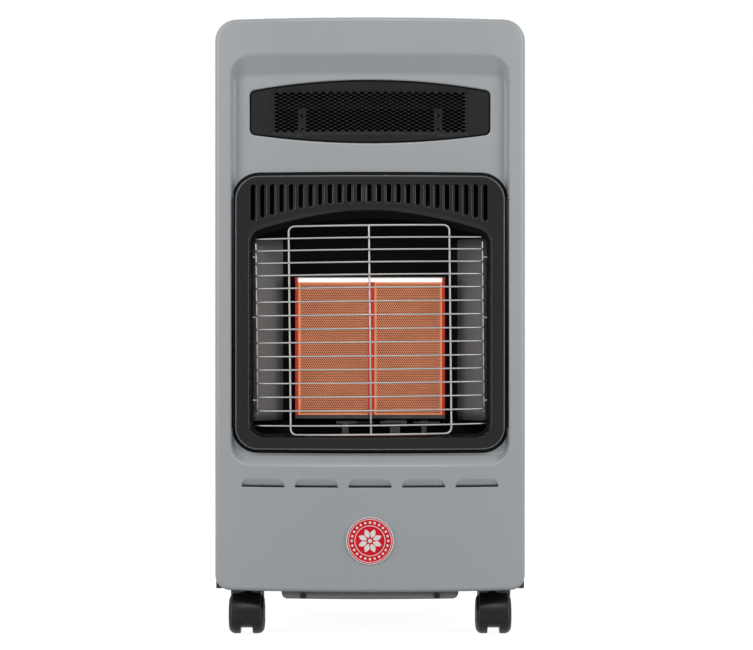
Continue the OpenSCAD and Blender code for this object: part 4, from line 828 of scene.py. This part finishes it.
REFLECTOR_RISE = 12  # above the top of the CAD node
REFLECTOR_PLAY = 0.8  # within its depth
REFLECTOR_SHEET = 0.6
OUTER_FLANGE, OUTER_LEAN, INNER_FLANGE = 10.3, 1.4, 10.8
END_ROW = 12  # height of the lowest and highest row of faces


def reflector(node, s):
    """A bent side reflector; its flange beside the burner is painted near-black as painted shade."""
    shell = Shell()
    low, high = span(node)
    out, inner = max(abs(low[0]), abs(high[0])), min(abs(low[0]), abs(high[0]))
    z0, z1 = low[2], high[2] + REFLECTOR_RISE
    front, back = low[1] + REFLECTOR_PLAY, high[1] - REFLECTOR_PLAY
    bends = [
        (out, front + OUTER_LEAN), (out - OUTER_FLANGE, front), (inner + INNER_FLANGE, back), (inner, back),
    ]
    section = bends[:2] + line(bends[1], bends[2], 12) + bends[2:]
    heights = (z0, z0 + END_ROW, (z0 + z1) / 2, z1 - END_ROW, z1)
    rings = [shell.add([(s * x, d, z) for z in heights]) for x, d in section]
    shell.strips(rings[:-1], closed=False)
    # Painted shade on the flange beside the burner.
    shell.strips(rings[-2:], closed=False, paint=1)
    looks = ["reflector_steel", "painted_shade_black"]
    shell.piece(node + "_sheet", looks, node, slot="reflector_steel", sheet=REFLECTOR_SHEET)


reflector("left_reflector", -1)
reflector("right_reflector", 1)

# ---------------------------------------------------------------- burner

CELL = 2.4  # across the flats of a six-sided cell
CELL_R = CELL / math.sqrt(3)
CELL_ROW = CELL * math.sqrt(3) / 2
HOLE_R, HOLE_DEPTH, HOLE_TAPER = 0.8, 1.3, 0.8
PLAQUE_EDGE, FIELD_SINK = 0.4, 0.25
OVERLAP = 0.1  # by which faces that meet without a seam pass each other
DIVIDER = (-2.6, 5.2)  # left and right edge of the bar between the plaques
FRAME_WALL = 1.2


def hexagon(cx, cz, r):
    """Six points with one at the top."""
    return [(cx + r * math.sin(a), cz + r * math.cos(a)) for a in (-math.pi / 3 * k for k in range(6))]


def pierced_cell(shell, cx, cz, d):
    """A cell of the field with its tapering hole."""
    rim = shell.ring(hexagon(cx, cz, HOLE_R), level(d))
    foot = shell.ring(hexagon(cx, cz, HOLE_R * HOLE_TAPER), level(d + HOLE_DEPTH))
    shell.strip(shell.ring(hexagon(cx, cz, CELL_R), level(d)), rim)
    # Painted shade: the hole's wall is dark red.
    shell.strip(rim, foot, paint=1)


def plaque_field(shell, x0, x1, z0, z1, d):
    """The field of a plaque: pierced cells, and plain ones along its edges."""
    for j in range(-1, math.ceil((z1 - z0) / CELL_ROW) + 1):
        for i in range(-1, round((x1 - x0) / CELL) + 1):
            cx, cz = x0 + (i + 0.5 + (j % 2) / 2) * CELL, z0 + (j + 0.5) * CELL_ROW
            if x0 < cx < x1 - HOLE_R and z0 < cz < z1 - HOLE_R:
                pierced_cell(shell, cx, cz, d)
            elif x0 - CELL < cx < x1 + CELL / 2 and cz < z1 + CELL_R:
                shell.face(shell.ring(hexagon(cx, cz, CELL_R), level(d)))


def plaque(node, rim_low, rim_high, rim_foot=1.5, rim_top=1.3):
    """A perforated ceramic plaque: a plain rim round a slightly sunk field of pierced cells."""
    shell = Shell()
    (x0, d0, z0), (x1, d1, z1) = span(node)
    field_d = d0 + FIELD_SINK
    field = (x0 + rim_low, x1 - rim_high, z0 + rim_foot, z1 - rim_top)

    def box_ring(left, right, foot, top, d):
        return shell.ring([(left, foot), (right, foot), (right, top), (left, top)], level(d))

    e = PLAQUE_EDGE
    rings = [
        box_ring(x0, x1, z0, z1, d1), box_ring(x0, x1, z0, z1, d0 + e),
        box_ring(x0 + e, x1 - e, z0 + e, z1 - e, d0), box_ring(*field, d0),
        box_ring(*field, field_d + OVERLAP),
    ]
    shell.strips(rings, paint=2)
    shell.face(rings[0][::-1], 2)
    # Painted shade: a dark red sheet behind the holes.
    shell.face(box_ring(*field, field_d + HOLE_DEPTH + OVERLAP), 1)
    plaque_field(shell, *field, field_d)
    shell.piece(node + "_pierced", ["hot_ceramic", "painted_shade_hole", "hot_rim"], node, slot="hot_ceramic")


def burner_frame():
    """The sheet frame round the plaques; its lips beside them carry a painted red glow that stands for the
    plaques' light.
    """
    shell = Shell()
    (x0, d0, z0), (x1, d1, z1) = span("burner_frame")
    gasket_top = span("burner_gasket")[1][2]
    plaque_low, plaque_high = span("plaque_right")
    low = plaque_low[2]
    wall = FRAME_WALL
    shell.block((x0, x1), (d0, d0 + wall), (z0, low))
    shell.block((x0, x1), (d0, d0 + wall), (gasket_top, z1))
    for s in (-1, 1):
        # Painted light: the lips beside the plaques and the bar between them glow red.
        shell.block(sorted((s * plaque_high[0], s * x1)), (d0, d0 + wall), (low, gasket_top), 1)
        shell.block(sorted((s * (x1 - wall), s * x1)), (d0 + wall, d1), (z0, z1))
    shell.block(DIVIDER, (d0, plaque_low[1] + 1), (low, plaque_high[2]), 1)
    shell.block((x0 + wall, x1 - wall), (d0 + wall, d1), (z0, z0 + wall))
    shell.block((x0 + wall, x1 - wall), (d0 + wall, d1), (z1 - wall, z1))
    looks = ["painted_shade_steel", "painted_glow_steel"]
    shell.piece("burner_frame_lips", looks, "burner_frame", slot="zinc_steel", bevel=0.25)


plaque("plaque_left", rim_low=2.8, rim_high=1.0)
plaque("plaque_right", rim_low=DIVIDER[1] + 0.6, rim_high=2.0)
burner_frame()

# ---------------------------------------------------------------- badge

# the section of its bright rim as (depth, distance inside the edge)
BADGE_RIM = [(0.9, 0), (0.3, 0), (0.05, 0.25), (0, 0.6), (0.06, 1.0), (0.5, 1.15)]
ENAMEL_D, RAISED_D, RAISED_EDGE = 0.5, 0.22, 0.12
CIRCLES = [(2.6, 0.7), (10.2, 0.8)]  # (distance inside the edge, width)
CIRCLE_STEPS = 96
BEADS, BEAD_IN, BEAD_R, BEAD_STEPS = 24, 6.4, 1.45, 16
PETALS, PETAL_NEAR, PETAL_FAR, PETAL_WIDE = 8, 3.6, 14.6, 6.2
EYE_R, EYE_STEPS = 2.4, 24


def disc(cx, cz, r, steps):
    return arc(cx, cz, r, 0, 360 - 360 / steps, steps - 1)


def petal(cx, cz, turn, steps=8):
    """Outline of a pointed petal that points away from the middle."""
    long = PETAL_FAR - PETAL_NEAR
    side = [
        (PETAL_NEAR + long * k / steps, PETAL_WIDE / 2 * math.sin(math.pi * k / steps))
        for k in range(steps + 1)
    ]
    loop = side + [(u, -v) for u, v in side[-2:0:-1]]
    c, q = math.cos(turn), math.sin(turn)
    return [(cx + u * c - v * q, cz + u * q + v * c) for u, v in loop[::-1]]


def raised(shell, loop, low, high):
    """A flat white shape with softened edges that stands on the badge's face."""
    rings = [
        shell.ring(loop, level(low)),
        shell.ring(loop, level(high + RAISED_EDGE)),
        shell.ring(shifted(loop, RAISED_EDGE), level(high)),
    ]
    shell.strips(rings, paint=1)
    shell.face(rings[-1], 1)


def badge():
    """Red enamel in a thin bright rim, flat and square to the front, with beads round a flower."""
    shell = Shell()
    (x0, front, z0), (x1, _, z1) = span("badge")
    cx, cz, r = (x0 + x1) / 2, (z0 + z1) / 2, (x1 - x0) / 2
    rim = [shell.ring(disc(cx, cz, r - t, CIRCLE_STEPS), level(front + d)) for d, t in BADGE_RIM]
    shell.strips(rim, paint=2)
    shell.face(rim[-1], 0)
    low, high = front + ENAMEL_D, front + RAISED_D
    for t, wide in CIRCLES:
        band = [
            shell.ring(disc(cx, cz, r - t + u, CIRCLE_STEPS), level(d))
            for u, d in ((wide / 2, low), (wide / 2, high), (-wide / 2, high), (-wide / 2, low))
        ]
        shell.strips(band, paint=1)
    for k in range(BEADS):
        a = 2 * math.pi * k / BEADS
        x, z = cx + (r - BEAD_IN) * math.cos(a), cz + (r - BEAD_IN) * math.sin(a)
        raised(shell, disc(x, z, BEAD_R, BEAD_STEPS), low, high)
    for k in range(PETALS):
        raised(shell, petal(cx, cz, 2 * math.pi * (k + 0.5) / PETALS), low, high)
    raised(shell, disc(cx, cz, EYE_R, EYE_STEPS), low, high)
    shell.piece("badge_enamel", ["badge_red", "badge_white", "badge_rim"], "badge", slot="badge_red")


badge()

# ---------------------------------------------------------------- casters

DOME_R = 8  # round from the tread to a wheel's outer face
HOOD_R, HOOD_WALL, HOOD_STEPS = 26.0, 1.4, 56
HOOD_DROP = 8  # how far the fender reaches below the axle at both ends
WEB_HALF, WEB_R = 6.6, 17
STEM_AHEAD = 16  # from the axle to the swivel stem
NECK, NECK_STEPS = [(0, 4.3), (0, 6.6), (-0.5, 7.2), (-10, 7.2)], 40  # (height over its top, radius)


def wheel_profile(r, wide):
    """(distance from the inner face, radius) over a wheel of radius r."""
    back = [(0.3, 6), (0.3, r - 4), (0, r - 3), (0, r - 1.2)]
    tread = [(0.3, r - 0.45), (1, r - 0.05), (3, r), (5, r)]
    dome = [(along, radius) for radius, along in arc(r - DOME_R, wide - DOME_R, DOME_R, 90, 0, 10)[::-1]]
    dish = [(wide - 0.02, r - 9), (wide - 0.3, r - 9.6), (wide - 1.0, r - 10.4), (wide - 1.0, 7.4)]
    hub_cap = [(wide - 0.8, 6.8), (wide - 0.1, 6.4), (wide - 0.02, 5.4), (wide, 0.01)]
    return back + tread + dome + dish + hub_cap


def caster_wheel(node, body, side):
    """A wheel with a crowned tread and a domed outer face with a shallow dish and a hub cap."""
    shell = Shell()
    (x0, d0, z0), (x1, d1, z1) = span(node)
    centre = (x0 if side > 0 else x1, (d0 + d1) / 2, (z0 + z1) / 2)
    profile = wheel_profile((z1 - z0) / 2, x1 - x0)
    shell.turn([(side * along, radius) for along, radius in profile], centre)
    shell.piece(node + "_turned", ["wheel_plastic"], node, slot="wheel_plastic", body=body)


def hood_profile(half, inner):
    """(distance from the middle, radius) over the fender from its left inner edge to its right one."""
    right = [(WEB_HALF, inner), (half - 0.5, inner), (half, inner + 0.4), (half, HOOD_R - 0.7)]
    right += [(half - 0.25, HOOD_R - 0.2), (half - 0.8, HOOD_R), (0, HOOD_R)]
    return right + [(-along, radius) for along, radius in right[-2::-1]]


def caster_hood(node, body, ahead):
    """The hood: a fender over both wheels, the web between them and the swivel neck."""
    shell = Shell()
    hood_low, hood_high = span(node)
    mid, half = (hood_low[0] + hood_high[0]) / 2, (hood_high[0] - hood_low[0]) / 2
    wheel_low, wheel_high = span(body + "_wheel_r")
    axle = (mid, (wheel_low[1] + wheel_high[1]) / 2, (wheel_low[2] + wheel_high[2]) / 2)
    inner = HOOD_R - HOOD_WALL
    fall = math.degrees(math.asin(HOOD_DROP / HOOD_R))
    sweep = (-fall, 180 + fall)
    shell.turn(hood_profile(half, inner), axle, HOOD_STEPS, sweep)
    for s in (-1, 1):
        shell.turn([(s * WEB_HALF, inner), (s * WEB_HALF, WEB_R)], axle, HOOD_STEPS, sweep)
        shell.turn([(s * WEB_HALF, WEB_R), (s * WEB_HALF, 0.01)], axle, HOOD_STEPS)
    shell.turn([(WEB_HALF, WEB_R), (-WEB_HALF, WEB_R)], axle, HOOD_STEPS)
    for s in (-1, 1):
        a = math.radians(90 + s * (90 + fall))
        for wide, low, high in ((WEB_HALF, WEB_R, inner), (half, inner, HOOD_R)):
            corners = [(mid - wide, low), (mid + wide, low), (mid + wide, high), (mid - wide, high)]
            shell.face(shell.add(
                [(x, axle[1] - q * math.cos(a), axle[2] + q * math.sin(a)) for x, q in corners]
            ))
    neck = [(hood_high[2] + up, radius) for up, radius in NECK]
    shell.turn(neck, (mid, axle[1] + ahead * STEM_AHEAD, 0), NECK_STEPS, axis="z")
    shell.piece(node + "_moulded", ["caster_plastic"], node, slot="caster_plastic", body=body)


for corner in ("fl", "fr", "rl", "rr"):
    caster = "caster_" + corner
    caster_hood(caster + "_hood", caster, 1 if corner[0] == "f" else -1)
    for letter, side in (("l", -1), ("r", 1)):
        caster_wheel(f"{caster}_wheel_{letter}", f"wheel_{corner}_{letter}", side)

# ---------------------------------------------------------------- studio

WORLD_LIGHT = 0.17
FLOOR_COLOR, FLOOR_GLOW, FLOOR_REACH = 0.35, 0.95, 20
LAMPS = {  # place, aim, size and power
    "key": ((0.0, -2.3, 2.5), (0, 0, 0.45), (2.0, 0.4), 36),
    "left": ((-2.3, -1.3, 1.0), (0, 0, 0.4), (1.4, 1.8), 31),
    "right": ((2.3, -1.3, 1.0), (0, 0, 0.4), (1.4, 1.8), 31),
    "back": ((0.0, 3.0, 2.0), (0, 0, 0.4), (2.4, 1.4), 55),
}


def lamp(name, place, aim, size, power):
    data = bpy.data.lights.new(name, "AREA")
    data.shape, data.size, data.size_y, data.energy = "RECTANGLE", size[0], size[1], power
    obj = bpy.data.objects.new(name, data)
    bpy.context.scene.collection.objects.link(obj)
    obj.location = place
    obj.rotation_euler = (Vector(aim) - Vector(place)).to_track_quat("-Z", "Y").to_euler()


def seen_rays(tree):
    """1 for the rays that show the background: camera, glossy and transmission."""
    path = tree.nodes.new("ShaderNodeLightPath")
    value = path.outputs["Is Camera Ray"]
    for other in ("Is Glossy Ray", "Is Transmission Ray"):
        both = tree.nodes.new("ShaderNodeMath")
        both.operation = "MAXIMUM"
        tree.links.new(value, both.inputs[0])
        tree.links.new(path.outputs[other], both.inputs[1])
        value = both.outputs[0]
    return value


def make_world():
    """An even light, and white for the rays that show the background."""
    world = bpy.data.worlds.new("studio")
    world.use_nodes = True
    tree = world.node_tree
    tree.nodes.clear()
    out = tree.nodes.new("ShaderNodeOutputWorld")
    mix = tree.nodes.new("ShaderNodeMixShader")
    for socket, strength in ((1, WORLD_LIGHT), (2, 1)):
        light = tree.nodes.new("ShaderNodeBackground")
        light.inputs["Color"].default_value = (1, 1, 1, 1)
        light.inputs["Strength"].default_value = strength
        tree.links.new(light.outputs[0], mix.inputs[socket])
    tree.links.new(seen_rays(tree), mix.inputs["Fac"])
    tree.links.new(mix.outputs[0], out.inputs["Surface"])
    bpy.context.scene.world = world


def make_floor():
    """A pale floor that keeps the shadow and reads as white to the camera."""
    material = bpy.data.materials.new("floor")
    material.use_nodes = True
    tree = material.node_tree
    tree.nodes.clear()
    out = tree.nodes.new("ShaderNodeOutputMaterial")
    both = tree.nodes.new("ShaderNodeAddShader")
    matte = tree.nodes.new("ShaderNodeBsdfDiffuse")
    matte.inputs["Color"].default_value = (FLOOR_COLOR, FLOOR_COLOR, FLOOR_COLOR, 1)
    glow = tree.nodes.new("ShaderNodeEmission")
    tree.links.new(seen_rays(tree), glow.inputs["Strength"])
    glow.inputs["Color"].default_value = (FLOOR_GLOW, FLOOR_GLOW, FLOOR_GLOW, 1)
    tree.links.new(matte.outputs[0], both.inputs[0])
    tree.links.new(glow.outputs[0], both.inputs[1])
    tree.links.new(both.outputs[0], out.inputs["Surface"])
    mesh = bpy.data.meshes.new("floor")
    corners = [(x * FLOOR_REACH, y * FLOOR_REACH, 0) for x, y in ((-1, -1), (1, -1), (1, 1), (-1, 1))]
    mesh.from_pydata(corners, [], [(0, 1, 2, 3)])
    mesh.materials.append(material)
    floor = bpy.data.objects.new("floor", mesh)
    bpy.context.scene.collection.objects.link(floor)


make_world()
make_floor()
for name, settings in LAMPS.items():
    lamp(name, *settings)

bpy.context.scene.view_settings.view_transform = "Standard"
